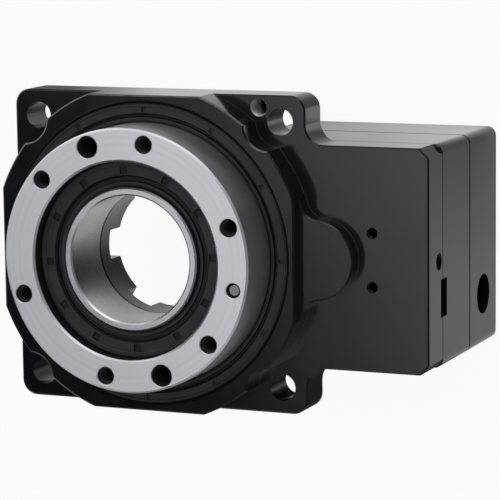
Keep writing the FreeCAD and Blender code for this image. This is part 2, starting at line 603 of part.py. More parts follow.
def housing():
    """Flange, raised body, pinion boss and nose in one piece, open to the front."""
    half = "(flange_side / 2)"
    sides = (f"(0 - {half})", half)
    square = rounded("flange_plate", block("flange_block", sides, sides, ("0", EAR_LEVEL)),
                     "flange_corner_r", is_upright)
    nose_span = ("(0 - adapter_side / 2)", "(adapter_side / 2)")
    nose_end = number(NOSE_END)

    def is_nose_corner(edge):
        return is_upright(edge) and abs(edge.Vertexes[0].X - nose_end) < 1e-6

    nose = bevelled("nose_plate", block("nose_block", ("0", NOSE_END), nose_span, ("0", EAR_LEVEL)),
                    "nose_corner_cut", is_nose_corner)
    inner_corner = FreeCAD.Vector(number(half), number("adapter_side / 2"), 0)

    def is_inner_corner(edge):
        place_of_edge = edge.Vertexes[0].Point
        return (is_upright(edge) and abs(place_of_edge.x - inner_corner.x) < 1e-6
                and abs(abs(place_of_edge.y) - inner_corner.y) < 1e-6)

    base = rounded("base_plate", fused("flange_and_nose", [square, nose]), "nose_blend_r", is_inner_corner)
    doc.recompute()
    rim = Part.Compound([edge for edge in base.Shape.Edges if is_level(edge, number(EAR_LEVEL))])

    def is_outline(edge):
        return rim.distToShape(Part.Vertex(middle_of(edge)))[0] < 1e-6

    low_span = (EAR_LEVEL, BOSS_LEVEL)
    low_disc = shared("low_disc", [cylinder("low_disc_round", "raised_d / 2", *low_span),
                                   block("low_disc_sides", (sides[0], "raised_d"), sides, low_span)])
    boss = cylinder("boss_round", "boss_d / 2", *low_span, "pinion_offset")
    boss_axis = FreeCAD.Vector(number("pinion_offset"), 0, 0)

    def is_boss_corner(edge):
        spot = FreeCAD.Vector(edge.Vertexes[0].X, edge.Vertexes[0].Y, 0)
        on_boss = abs((spot - boss_axis).Length - number("boss_d / 2")) < 1e-6
        return is_upright(edge) and on_boss and abs(spot.Length - number("raised_d / 2")) < 1e-6

    low_body = rounded("low_body", fused("disc_and_boss", [low_disc, boss]), "boss_blend_r", is_boss_corner)
    high_disc = shared("high_disc", [cylinder("high_disc_round", "raised_d / 2", EAR_LEVEL, RAISED_LEVEL),
                                     block("high_disc_sides", sides, sides, (EAR_LEVEL, RAISED_LEVEL))])
    scallops = [cylinder("scallop_%d" % index, "scallop_r", EAR_LEVEL, f"({RAISED_LEVEL} + {MARGIN})", x, y)
                for index, (x, y) in enumerate(four_corners(EAR_STEP))]
    raised = cut("raised_body", fused("raised_blank", [low_body, high_disc]), scallops)
    levels = [number(RAISED_LEVEL), number(BOSS_LEVEL)]
    raised = bevelled("raised_edges", raised, "edge_break",
                      lambda edge: is_level(edge, levels[0]) or is_level(edge, levels[1])
                      and middle_of(edge).x > number(half) + 1e-6)
    blank = bevelled("housing_blank", fused("housing_joined", [base, raised]), "edge_break",
                     lambda edge: is_level(edge, number(EAR_LEVEL)) and is_outline(edge))

    seat_r = "(outer_seal_d / 2)"
    rear = f"(0 - {MARGIN})"
    gear_room = cut("gear_room", cylinder("gear_room_round", GEAR_ROOM_R, "floor_thick",
                                          f"({OUTER_SEAL_LOW} + {MARGIN})"),
                    [cylinder("hub_round", HUB_R, "floor_thick", BEARING_LOW)])
    cuts = [
        gear_room,
        hole_mouth("seal_seat_mouth", seat_r, "seat_chamfer", RAISED_LEVEL),
        cylinder("seal_seat", seat_r, OUTER_SEAL_LOW, f"({RAISED_LEVEL} + {MARGIN})"),
        cylinder("sleeve_hole", "(sleeve_d / 2 + thread_play)", rear, f"({BEARING_LOW} + {MARGIN})"),
        cylinder("bush_room", BUSH_ROOM_R, rear, BUSH_HEAD_HIGH),
        cylinder("pinion_room", PINION_ROOM_R, rear, f"({BOSS_LEVEL} - boss_roof)", "pinion_offset"),
        cylinder("lug_hole", "lug_hole_d / 2", f"({EAR_LEVEL} - lug_hole_deep)", f"({EAR_LEVEL} + {MARGIN})",
                 "lug_hole_x", "lug_hole_y"),
        bar_along_x("grease_port", "port_d / 2", f"({NOSE_END} - port_deep)", f"({NOSE_END} + {MARGIN})",
                    "(0 - port_low)", "port_level"),
        pry_slot("nose_pry_slot", rear, "pry_up"),
        seat_groove(nose_span),
    ]
    above_ear = f"({EAR_LEVEL} + {MARGIN})"
    for index, (x, y) in enumerate(four_corners(EAR_STEP)):
        cuts.append(cylinder("ear_hole_%d" % index, "ear_hole_d / 2", rear, above_ear, x, y))
    sensor_low = f"({EAR_LEVEL} - sensor_hole_deep)"
    for index, sign in enumerate(("", "0 - ")):
        cuts.append(cylinder("sensor_hole_%d" % index, "sensor_hole_d / 2", sensor_low, above_ear,
                             "(pinion_offset + sensor_hole_x)", f"({sign}sensor_hole_y)"))
    tap_end = f"(case_screw_grip + {MARGIN})"
    for index, (x, y) in enumerate(adapter_screw_places()):
        cuts.append(cylinder("housing_tap_%d" % index, TAPPED_HOLE_R, rear, tap_end, x, y))
    for index, (x, y) in enumerate(dowel_places()):
        cuts.append(cylinder("housing_dowel_hole_%d" % index, "dowel_d / 2", rear, "(dowel_long / 2)", x, y))
    return cut("housing", blank, cuts)


def hollow_sleeve():
    """Fixed sleeve round the bore: seal track, bearing collar and a threaded rear end."""
    low = SLEEVE_LOW
    top = f"({SLEEVE_HIGH} - {low})"
    collar_low = f"({BEARING_HIGH} - {low})"
    collar_high = f"({collar_low} + collar_high)"
    shoulder = f"({BUSH_JOINT} + joint_gap - {low})"
    thread_r = "(neck_d / 2 + thread_play)"
    return turned("hollow_sleeve", [
        (thread_r, "0"),
        ("sleeve_d / 2", "0"),
        ("sleeve_d / 2", collar_low),
        ("sleeve_collar_d / 2", collar_low),
        ("sleeve_collar_d / 2", collar_high),
        ("sleeve_d / 2", collar_high),
        ("sleeve_d / 2", f"{top} - sleeve_edge"),
        ("sleeve_d / 2 - sleeve_edge", top),
        ("bore_d / 2 + sleeve_edge", top),
        ("bore_d / 2", f"{top} - sleeve_edge"),
        ("bore_d / 2", shoulder),
        (thread_r, shoulder),
    ], low)


def slotted_tie_bush():
    """Bush screwed into the sleeve from behind, with spanner slots across its head."""
    head = f"({BUSH_HEAD_HIGH} - bush_sunk)"
    body = turned("slotted_tie_bush", [
        ("bore_d / 2", "0"),
        ("bush_head_d / 2 - edge_break", "0"),
        ("bush_head_d / 2", "edge_break"),
        ("bush_head_d / 2", head),
        ("neck_d / 2", head),
        ("neck_d / 2", f"{head} + neck_long"),
        ("bore_d / 2", f"{head} + neck_long"),
    ], "bush_sunk")
    half = "bush_slot_wide / 2"
    inside, outside = "bore_d / 4", "bush_head_d"
    slot = outline(body, "spanner_slot_outline", "XY_Plane",
                   [(inside, f"0 - {half}"), (outside, f"0 - {half}"), (outside, half), (inside, half)])
    pocketed(body, "spanner_slot", slot, f"{head} - bush_slot_floor", "bush_slot_count", upward=True)
    return body


def track(side):
    """Corners of the V track that the rollers run in, seen from the inner (-1) or the outer (1) ring."""
    sign = "+" if side > 0 else "-"
    face = f"(roller_pitch_d / 2 {sign} race_gap / 2)"
    half_diagonal = "((roller_d / 2 + roller_gap) * sqrt(2))"
    mouth = f"({half_diagonal} - race_gap / 2)"
    return face, mouth, f"(roller_pitch_d / 2 {sign} {half_diagonal})"


def bearing_inner_ring():
    """One-piece inner ring of the crossed roller bearing, clamped on the sleeve."""
    face, mouth, root = track(-1)
    middle = "(bearing_wide / 2)"
    return turned("bearing_inner_ring", [
        ("sleeve_d / 2", "0"),
        (face, "0"),
        (face, f"{middle} - {mouth}"),
        (root, middle),
        (face, f"{middle} + {mouth}"),
        (face, "bearing_wide"),
        ("sleeve_d / 2", "bearing_wide"),
    ], BEARING_LOW)


def bearing_outer_halves():
    """Outer ring of the crossed roller bearing, split so that the rollers can be laid in."""
    face, mouth, root = track(1)
    middle = "(bearing_wide / 2)"
    lower = turned("bearing_outer_ring_lower", [
        (face, "0"),
        ("bearing_d / 2", "0"),
        ("bearing_d / 2", middle),
        (root, middle),
        (face, f"{middle} - {mouth}"),
    ], BEARING_LOW)
    upper = turned("bearing_outer_ring_upper", [
        (root, "0"),
        ("bearing_d / 2", "0"),
        ("bearing_d / 2", middle),
        (face, middle),
        (face, mouth),
    ], ROLLER_LEVEL)
    return lower, upper


def laid_rollers(name, radius, length):
    """Rollers round the bearing, each lying at 45 degrees and every other one crossed."""
    rollers = []
    count = int(number("roller_count"))
    tilt = 45
    for index in range(count):
        turn = FreeCAD.Rotation(FreeCAD.Vector(0, 0, 1), index * 360 / count)
        lean = FreeCAD.Rotation(FreeCAD.Vector(0, 1, 0), tilt if index % 2 else -tilt)
        bar = doc.addObject("Part::Cylinder", "%s_%d" % (name, index))
        bind(bar, "Radius", radius)
        bind(bar, "Height", length)
        middle = turn.multVec(FreeCAD.Vector(number("roller_pitch_d / 2"), 0, 0))
        middle.z = number(ROLLER_LEVEL)
        along = turn.multiply(lean)
        half_bar = along.multVec(FreeCAD.Vector(0, 0, number(length) / 2))
        bar.Placement = FreeCAD.Placement(middle - half_bar, along)
        rollers.append(bar)
    return rollers


def crossed_rollers():
    return group("crossed_rollers", laid_rollers("roller", "roller_d / 2", "(roller_d - roller_end_gap)"))


def roller_spacers():
    """Spacers between the rollers: a square section ring parted by the rollers' own shape."""
    half = "((roller_d / 2 - roller_end_gap) * sqrt(2))"
    pitch = "roller_pitch_d / 2"
    square_ring = turned("spacer_ring", [
        (f"{pitch} - {half}", "bearing_wide / 2"),
        (pitch, f"bearing_wide / 2 - {half}"),
        (f"{pitch} + {half}", "bearing_wide / 2"),
        (pitch, f"bearing_wide / 2 + {half}"),
    ], BEARING_LOW)
    rooms = group("spacer_rooms",
                  laid_rollers("spacer_room", "(roller_d / 2 + spacer_gap)", "(roller_d * 2)"))
    return cut("roller_spacers", square_ring, [rooms])


def table_ring():
    """Turning table: the face with its holes, the seal and bearing seats inside and the gear seat below."""
    low = BEARING_LOW
    top = f"({TABLE_FACE} - {low})"
    body = turned("table_turned", [
        ("bearing_d / 2", "0"),
        ("table_d / 2", "0"),
        ("table_d / 2", f"{top} - table_edge"),
        ("table_d / 2 - table_edge", top),
        ("inner_seal_d / 2 + table_edge", top),
        ("inner_seal_d / 2", f"{top} - table_edge"),
        ("inner_seal_d / 2", "bearing_wide + table_lip_thick"),
        ("table_lip_d / 2", "bearing_wide + table_lip_thick"),
        ("table_lip_d / 2", "bearing_wide"),
        ("bearing_d / 2", "bearing_wide"),
    ], low)
    bind(body, "Placement.Rotation.Angle", "table_turn")
    circle_r = "table_hole_pcd / 2"
    step = "360 / table_hole_count"
    hole_turn, jig_turn = f"{step} / 2", f"2 * {step}"
    drilled(body, "tapped_hole", "table_hole_d", "table_hole_deep",
            f"{circle_r} * cos({hole_turn})", f"{circle_r} * sin({hole_turn})", top, "table_hole_count")
    drilled(body, "jig_hole", "jig_hole_d", "table_hole_deep",
            f"{circle_r} * cos({jig_turn})", f"{circle_r} * sin({jig_turn})", top, "2")
    drilled(body, "pin_hole", "pin_d", "pin_long + pin_sunk", circle_r, "0", top)
    cuts = [cylinder("table_tap_%d" % index, TAPPED_HOLE_R, f"({low} - {MARGIN})",
                     f"({low} + gear_screw_grip + {MARGIN})", x, y)
            for index, (x, y) in enumerate(on_circle("gear_screw_pcd", "gear_screw_count"))]
    for name, diameter, count, turn in (("tapped", "table_hole_d", "table_hole_count", hole_turn),
                                        ("jig", "jig_hole_d", "2", jig_turn), ("pin", "pin_d", "1", "0")):
        for index, (x, y) in enumerate(on_circle("table_hole_pcd", count, f"(table_turn + {turn})")):
            cuts.append(hole_mouth("%s_mouth_%d" % (name, index), f"({diameter} / 2)", "hole_edge",
                                   TABLE_FACE, x, y))
    return cut("table_ring", body, cuts)


def locating_pin():
    """Hardened pin pressed into the table face."""
    level = f"({TABLE_FACE} - pin_sunk - pin_long)"
    body = turned("locating_pin", [
        ("0", "0"),
        ("pin_d / 2", "0"),
        ("pin_d / 2", "pin_long - edge_break"),
        ("pin_d / 2 - edge_break", "pin_long"),
        ("0", "pin_long"),
    ], level)
    place(body, "table_hole_pcd / 2 * cos(table_turn)", "table_hole_pcd / 2 * sin(table_turn)", level)
    return body


def lip_seal(name, level, outside, lip, top, size):
    """Rubber seal with a dust lip and a main lip, both running on the same round face."""
    rim, band, web, main_lip, end = (f"{size}_seal_{part}" for part in ("rim", "band", "web", "lip", "end"))
    face = f"{top} - seal_rim_step"
    step = f"{top} - seal_step"
    groove = f"{step} - lip_groove"
    ridge = f"{lip} + lip_root + lip_ridge"
    dust_lip = f"{step} - dust_lip_drop"
    body = turned(name, [
        (f"{outside} - seal_shell", "0"),
        (outside, "0"),
        (outside, f"{top} - seal_bevel"),
        (f"{outside} - seal_bevel", top),
        (f"{outside} - {rim}", top),
        (f"{outside} - {rim} - seal_rim_step", face),
        (f"{outside} - {band}", face),
        (f"{outside} - {band} - seal_bevel", step),
        (f"{outside} - {band} - seal_bevel - groove_slope", groove),
        (f"{ridge} + groove_slope", groove),
        (ridge, step),
        (f"{lip} + lip_root", step),
        (lip, dust_lip),
        (lip, f"{dust_lip} - lip_edge"),
        (f"{lip} + lip_root", f"{top} - {web}"),
        (lip, f"{top} - {main_lip}"),
        (lip, f"{top} - {main_lip} - lip_edge"),
        (f"{lip} + 2 * lip_root", f"{top} - {end}"),
        (f"{lip} + 2 * lip_root", f"{top} - {web}"),
        (f"{outside} - seal_shell", f"{top} - {web}"),
    ], level)
    near = f"{outside} - {band} + dent_edge"
    far = f"{near} + {size}_dent_wide"
    half = f"{size}_dent_wide / 2"
    dent = outline(body, name + "_dent_outline", "XY_Plane",
                   [(near, f"0 - {half}"), (far, f"0 - {half}"), (far, half), (near, half)])
    bind(dent, "AttachmentOffset.Base.z", top)
    pocketed(body, name + "_dent", dent, "dent_deep", "dent_count")
    return body


def inner_oil_seal():
    """Seal pressed into the table, its lips on the fixed sleeve, one gap between its pockets at the pin."""
    top = f"({INNER_SEAL_HIGH} - {INNER_SEAL_LOW})"
    body = lip_seal("inner_oil_seal", INNER_SEAL_LOW, "(inner_seal_d / 2)", "(sleeve_d / 2 + lip_gap)",
                    top, "inner")
    bind(body, "Placement.Rotation.Angle", "table_turn + 180 / dent_count")
    return body


def outer_oil_seal():
    """Seal pressed into the housing, its lips on the turning table."""
    return lip_seal("outer_oil_seal", OUTER_SEAL_LOW, "(outer_seal_d / 2)", "(table_d / 2 + lip_gap)",
                    "outer_seal_wide", "outer")


def involute(angle):
    return math.tan(angle) - angle


def toothed_bar(teeth, low, high, hand, first_space):
    """Helical toothed bar about the origin: arcs through true involute points, swept in straight spans."""
    pressure = math.radians(number("pressure_angle"))
    helix = math.radians(number("helix_angle"))
    module = number(TOOTH_MODULE)
    normal = number(NORMAL_MODULE)
    pitch_r = module * teeth / 2
    slope = math.atan(math.tan(pressure) / math.cos(helix))
    base_r = pitch_r * math.cos(slope)
    tip_r = pitch_r + normal
    root_r = pitch_r - number("tooth_root") * normal
    half_pitch_tooth = math.pi / (2 * teeth) - number("backlash") / (4 * pitch_r)
    turn = math.tan(helix) / pitch_r
    most_per_span = min(2 * math.acos(1 - number("tooth_sag") / tip_r), 2 * math.pi / (3 * teeth))
    spans = math.ceil((high - low) * turn / most_per_span)

    def half_tooth(radius):
        """Half of the tooth's angle at a radius."""
        radius = max(radius, base_r)
        return half_pitch_tooth + involute(slope) - involute(math.acos(base_r / radius))

    def section(level):
        twist = hand * (level - (low + high) / 2) * turn
        foot_r = max(base_r, root_r)
        flank_radii = (foot_r, (foot_r + tip_r) / 2, tip_r)

        def spot(radius, angle):
            return FreeCAD.Vector(radius * math.cos(angle), radius * math.sin(angle), level)

        edges = []
        for index in range(teeth):
            middle = first_space + twist + (index + 0.5) * 2 * math.pi / teeth
            rise = [spot(radius, middle - half_tooth(radius)) for radius in flank_radii]
            fall = [spot(radius, middle + half_tooth(radius)) for radius in reversed(flank_radii)]
            edges.append(Part.Arc(*rise).toShape())
            edges.append(Part.Arc(rise[2], spot(tip_r, middle), fall[0]).toShape())
            edges.append(Part.Arc(*fall).toShape())
            gap = middle + math.pi / teeth
            next_foot = spot(foot_r, middle + 2 * math.pi / teeth - half_tooth(foot_r))
            root_start, root_end = fall[2], next_foot
            if root_r < base_r:
                root_start = spot(root_r, middle + half_tooth(foot_r))
                root_end = spot(root_r, middle + 2 * math.pi / teeth - half_tooth(foot_r))
                edges.append(Part.LineSegment(fall[2], root_start).toShape())
            edges.append(Part.Arc(root_start, spot(root_r, gap), root_end).toShape())
            if root_r < base_r:
                edges.append(Part.LineSegment(root_end, next_foot).toShape())
        return Part.Wire(edges)

    levels = [low + (high - low) * step / spans for step in range(spans + 1)]
    return Part.makeLoft([section(level) for level in levels], True, True)


def ring_gear():
    """Ring gear screwed under the table, clamping the bearing's outer ring."""
    blank = doc.addObject("Part::Feature", "gear_blank")
    teeth = int(number("gear_teeth"))
    blank.Shape = toothed_bar(teeth, number(GEAR_LOW), number(BEARING_LOW), 1, -math.pi / teeth)
    below = f"({GEAR_LOW} - {MARGIN})"
    above = f"({BEARING_LOW} + {MARGIN})"
    seat = f"({GEAR_LOW} + {HEAD_ROOM_DEEP})"
    cuts = [cylinder("gear_bore", "gear_inner_d / 2", below, above)]
    for index, (x, y) in enumerate(on_circle("gear_screw_pcd", "gear_screw_count")):
        cuts.append(cylinder("gear_hole_%d" % index, PLAIN_HOLE_R, below, above, x, y))
        cuts.append(cylinder("gear_head_room_%d" % index, HEAD_ROOM_R, below, seat, x, y))
    return cut("ring_gear", blank, cuts)


def gear_screws():
    seat = f"({GEAR_LOW} + {HEAD_ROOM_DEEP})"
    shank = f"({BEARING_LOW} + gear_screw_grip - {seat})"
    places = on_circle("gear_screw_pcd", "gear_screw_count")
    return group("gear_screws", [socket_screw("gear_screw_%d" % index, x, y, seat, shank, True)
                                 for index, (x, y) in enumerate(places)])


def pinion_shaft():
    """Pinion and its hollow shaft, slit at the rear end for the clamp ring."""
    low = SHAFT_LOW
    teeth = int(number("pinion_teeth"))
    pinion = doc.addObject("Part::Feature", "pinion_teeth_bar")
    pinion.Shape = toothed_bar(teeth, number(PINION_LOW), number(PINION_HIGH), -1, math.pi)
    place(pinion, "pinion_offset", "0", "0")
    journal = "journal_d / 2"
    clip_r = f"({journal} - clip_bite)"
    clip_low = f"({CLIP_LOW} - {low})"
    clip_high = f"({REAR_BEARING_LOW} - {low})"
    shoulder_low = f"(0 - case_lip - {low})"
    shoulder_high = f"(0 - shoulder_sunk - {low})"
    bore_end = f"({ADAPTER_REAR} + motor_shaft_reach - {low})"
    shaft = turned("shaft_turned", [
        ("motor_shaft_d / 2", "0"),
        (f"{journal} - edge_break", "0"),
        (journal, "edge_break"),
        (journal, clip_low),
        (clip_r, clip_low),
        (clip_r, clip_high),
        (journal, clip_high),
        (journal, shoulder_low),
        ("shoulder_d / 2", shoulder_low),
        ("shoulder_d / 2", shoulder_high),
        ("neck_shaft_d / 2", shoulder_high),
        ("neck_shaft_d / 2", f"{PINION_LOW} - {low}"),
        ("0", f"{PINION_LOW} - {low}"),
        ("0", bore_end),
        ("motor_shaft_d / 2", bore_end),
    ], low, "pinion_offset")
    slit_end = f"({low} + shaft_slit_long)"
    across = ("(pinion_offset - shaft_slit / 2)", "(pinion_offset + shaft_slit / 2)")
    along = ("(pinion_offset - journal_d)", "(pinion_offset + journal_d)")
    z_span = (f"({low} - {MARGIN})", slit_end)
    slits = [block("shaft_slit_across", across, ("(0 - journal_d)", "journal_d"), z_span),
             block("shaft_slit_along", along, ("(0 - shaft_slit / 2)", "(shaft_slit / 2)"), z_span)]
    return cut("pinion_shaft", fused("shaft_blank", [shaft, pinion]), slits)


def ball_bearing_levels():
    return ("front", FRONT_BEARING_LOW), ("rear", REAR_BEARING_LOW)


def ball_track(name, level):
    """Round groove that the balls run in."""
    torus = doc.addObject("Part::Torus", name)
    bind(torus, "Radius1", BALL_PITCH_R)
    bind(torus, "Radius2", "ball_d / 2 + ball_gap")
    place(torus, "pinion_offset", "0", f"({level} + ball_bearing_wide / 2)")
    return torus


def ball_bearing_rings(name, outer, inner):
    """The like rings of both ball bearings."""
    rings = []
    for end, level in ball_bearing_levels():
        high = f"({level} + ball_bearing_wide)"
        plain = ring(f"{name}_{end}_plain", outer, inner, level, high, "pinion_offset")
        rings.append(cut(f"{name}_{end}", plain, [ball_track(f"{name}_{end}_track", level)]))
    return group(name, rings)


def bearing_balls():
    balls = []
    for end, level in ball_bearing_levels():
        for index, (x, y) in enumerate(on_circle(f"(2 * {BALL_PITCH_R})", "ball_count")):
            ball = doc.addObject("Part::Sphere", "ball_%s_%d" % (end, index))
            bind(ball, "Radius", "ball_d / 2")
            place(ball, f"pinion_offset + {x}", y, f"({level} + ball_bearing_wide / 2)")
            balls.append(ball)
    return group("bearing_balls", balls)


def ball_cages():
    """Cage of each ball bearing, drilled from the outside for its balls."""
    cages = []
    for end, level in ball_bearing_levels():
        middle = f"({level} + ball_bearing_wide / 2)"
        band = ring("cage_band_" + end,
                    f"({BALL_PITCH_R} + cage_half_thick)", f"({BALL_PITCH_R} - cage_half_thick)",
                    f"({middle} - cage_half_high)", f"({middle} + cage_half_high)", "pinion_offset")
        rooms = []
        count = int(number("ball_count"))
        for index in range(count):
            room = doc.addObject("Part::Cylinder", "cage_room_%s_%d" % (end, index))
            bind(room, "Radius", "ball_d / 2 + cage_gap")
            bind(room, "Height", BALL_PITCH_R + " + ball_d")
            outward = FreeCAD.Rotation(FreeCAD.Vector(0, 0, 1), index * 360 / count)
            room.Placement.Rotation = outward.multiply(FreeCAD.Rotation(FreeCAD.Vector(0, 1, 0), 90))
            place(room, "pinion_offset", "0", middle)
            rooms.append(room)
        cages.append(cut("cage_" + end, band, [group("cage_rooms_" + end, rooms)]))
    return group("ball_cages", cages)


def bearing_spacer():
    return ring("bearing_spacer", "(ball_bearing_d / 2)", "(ball_bearing_d / 2 - spacer_wall)",
                f"({FRONT_BEARING_LOW} - spacer_long)", FRONT_BEARING_LOW, "pinion_offset")


def retaining_ring(name, outer, inner):
    """Open retaining ring behind the rear ball bearing."""
    whole = ring(name + "_whole", outer, inner, CLIP_LOW, REAR_BEARING_LOW, "pinion_offset")
    opening = block(name + "_opening", ("(pinion_offset - clip_gap / 2)", "(pinion_offset + clip_gap / 2)"),
                    ("0", "ball_bearing_d"), (f"({CLIP_LOW} - {MARGIN})", f"({REAR_BEARING_LOW} + {MARGIN})"))
    return cut(name, whole, [opening])


def case_retaining_ring():
    seat = "(ball_bearing_d / 2 + clip_bite)"
    return retaining_ring("case_retaining_ring", seat, f"({seat} - clip_wide)")


def shaft_retaining_ring():
    seat = "(journal_d / 2 - clip_bite)"
    return retaining_ring("shaft_retaining_ring", f"({seat} + clip_wide)", seat)


def adapter_layer(name, low, high):
    """Block of the adapter with round upright corners and a fine chamfer along its seams."""
    spans = ((ADAPTER_NEAR, NOSE_END), ("(0 - adapter_side / 2)", "(adapter_side / 2)"), (low, high))
    layer = rounded(name + "_rounded", block(name + "_block", *spans), "adapter_corner_r", is_upright)
    ends = (number(low), number(high))
    return bevelled(name + "_layer", layer, "seam_edge",
                    lambda edge: is_level(edge, ends[0]) or is_level(edge, ends[1]))


def gear_case():
    """Middle layer of the adapter: the pinion's bearings and the grease seal ring sit in it."""
    rear = "(0 - case_long)"
    beyond = f"({rear} - {MARGIN})"
    groove_low = "(0 - o_ring_thick)"
    half_groove = "(o_ring_thick / 2 + o_ring_gap)"
    cuts = [
        cylinder("case_bearing_seat", "(ball_bearing_d / 2)", beyond, "(0 - case_lip)", "pinion_offset"),
        cylinder("case_mouth", "case_lip_d / 2", beyond, MARGIN, "pinion_offset"),
        cylinder("case_clip_groove", "(ball_bearing_d / 2 + clip_bite)", CLIP_LOW, REAR_BEARING_LOW,
                 "pinion_offset"),
        ring("o_ring_groove", f"(o_ring_d / 2 + {half_groove})", f"(o_ring_d / 2 - {half_groove})",
             groove_low, MARGIN, "pinion_offset"),
        pry_slot("case_pry_slot", "(0 - pry_down)", MARGIN),
    ]
    for index, (x, y) in enumerate(adapter_screw_places()):
        cuts.append(cylinder("case_hole_%d" % index, PLAIN_HOLE_R, beyond, MARGIN, x, y))
    for index, (x, y) in enumerate(dowel_places()):
        cuts.append(cylinder("case_dowel_hole_%d" % index, "dowel_d / 2", "(0 - dowel_long / 2)", MARGIN,
                             x, y))
    return cut("gear_case", adapter_layer("case", rear, "0"), cuts)


def case_seal_ring():
    """Grease seal ring squeezed between the gear case and the housing."""
    body = doc.addObject("Part::Torus", "case_seal_ring")
    bind(body, "Radius1", "o_ring_d / 2")
    bind(body, "Radius2", "o_ring_thick / 2")
    place(body, "pinion_offset", "0", "(0 - o_ring_thick / 2)")
    return body


def motor_flange():
    """Rear layer of the adapter: pilot seat and screw holes for the motor round the clamp room."""
    front = "(0 - case_long)"
    rear = ADAPTER_REAR
    beyond = f"({rear} - {MARGIN})"
    spigot = cylinder("spigot", "(ball_bearing_d / 2 - spigot_gap)", front, f"({front} + spigot_long)",
                      "pinion_offset")
    blank = fused("motor_flange_blank", [adapter_layer("motor", rear, front), spigot])
    cuts = [
        cylinder("pilot_seat", "pilot_d / 2", beyond, f"({rear} + pilot_deep)", "pinion_offset"),
        cylinder("clamp_room", CLAMP_ROOM_R, beyond, f"({front} - motor_wall)", "pinion_offset"),
        cylinder("shaft_room", "shaft_room_d / 2", beyond, f"({front} + spigot_long + {MARGIN})",
                 "pinion_offset"),
        bar_along_x("access_hole", "access_hole_d / 2", "(pinion_offset + clamp_screw_out)",
                    f"({NOSE_END} + {MARGIN})", "(0 - clamp_screw_out)", CLAMP_LEVEL),
    ]
    hole_end = f"({rear} + motor_hole_deep)"
    for index, (x, y) in enumerate(four_corners(MOTOR_STEP)):
        cuts.append(cylinder("motor_hole_%d" % index, "motor_hole_d / 2", beyond, hole_end,
                             f"(pinion_offset + {x})", y))
    head_seat = f"({rear} + {HEAD_ROOM_DEEP})"
    for index, (x, y) in enumerate(adapter_screw_places()):
        cuts.append(cylinder("flange_hole_%d" % index, PLAIN_HOLE_R, beyond, f"({front} + {MARGIN})", x, y))
        cuts.append(cylinder("flange_head_room_%d" % index, HEAD_ROOM_R, beyond, head_seat, x, y))
    return cut("motor_flange", blank, cuts)


def adapter_screws():
    seat = f"({ADAPTER_REAR} + {HEAD_ROOM_DEEP})"
    return group("adapter_screws", [socket_screw("adapter_screw_%d" % index, x, y, seat,
                                                 f"(case_screw_grip - {seat})", True)
                                    for index, (x, y) in enumerate(adapter_screw_places())])


def dowels():
    low, high = "(0 - dowel_long / 2)", "(dowel_long / 2)"
    return group("dowels", [cylinder("dowel_%d" % index, "dowel_d / 2", low, high, x, y)
                            for index, (x, y) in enumerate(dowel_places())])


def clamp_ring():
    """Split ring that clamps the slit shaft end on the motor shaft."""
    low = f"({CLAMP_LEVEL} - clamp_wide / 2)"
    high = f"({CLAMP_LEVEL} + clamp_wide / 2)"
    whole = ring("clamp_whole", "clamp_d / 2", "(journal_d / 2 + clamp_fit)", low, high, "pinion_offset")
    z_span = (f"({low} - {MARGIN})", f"({high} + {MARGIN})")
    slit = block("clamp_slit_cut", ("(pinion_offset - clamp_slit / 2)", "(pinion_offset + clamp_slit / 2)"),
                 ("(0 - clamp_d)", "0"), z_span)
    out = "(0 - clamp_screw_out)"
    middle = "pinion_offset"
    seat = f"({middle} + clamp_screw_seat)"
    holes = [
        bar_along_x("clamp_plain_hole", PLAIN_HOLE_R, middle, seat, out, CLAMP_LEVEL),
        bar_along_x("clamp_head_room", HEAD_ROOM_R, seat, f"({middle} + clamp_d)", out, CLAMP_LEVEL),
        bar_along_x("clamp_tapped_hole", TAPPED_HOLE_R, f"({middle} - clamp_d)", middle, out, CLAMP_LEVEL),
    ]
    return cut("clamp_ring", whole, [slit] + holes)


def clamp_screw():
    out = "(0 - clamp_screw_out)"
    seat = "(pinion_offset + clamp_screw_seat)"
    head_end = f"({seat} + screw_head_high)"
    head = bar_along_x("clamp_screw_head", "screw_head_d / 2", seat, head_end, out, CLAMP_LEVEL)
    tip = "(pinion_offset - clamp_screw_grip)"
    shank = bar_along_x("clamp_screw_shank", "screw_d / 2", tip, seat, out, CLAMP_LEVEL)
    socket = doc.addObject("Part::Prism", "clamp_screw_socket")
    socket.Polygon = 6
    bind(socket, "Circumradius", "screw_socket / sqrt(3)")
    bind(socket, "Height", SOCKET_DEEP)
    socket.Placement.Rotation = FreeCAD.Rotation(FreeCAD.Vector(0, 1, 0), 90)
    place(socket, f"({head_end} - {SOCKET_DEEP})", out, CLAMP_LEVEL)
    return cut("clamp_screw", fused("clamp_screw_blank", [head, shank]), [socket])


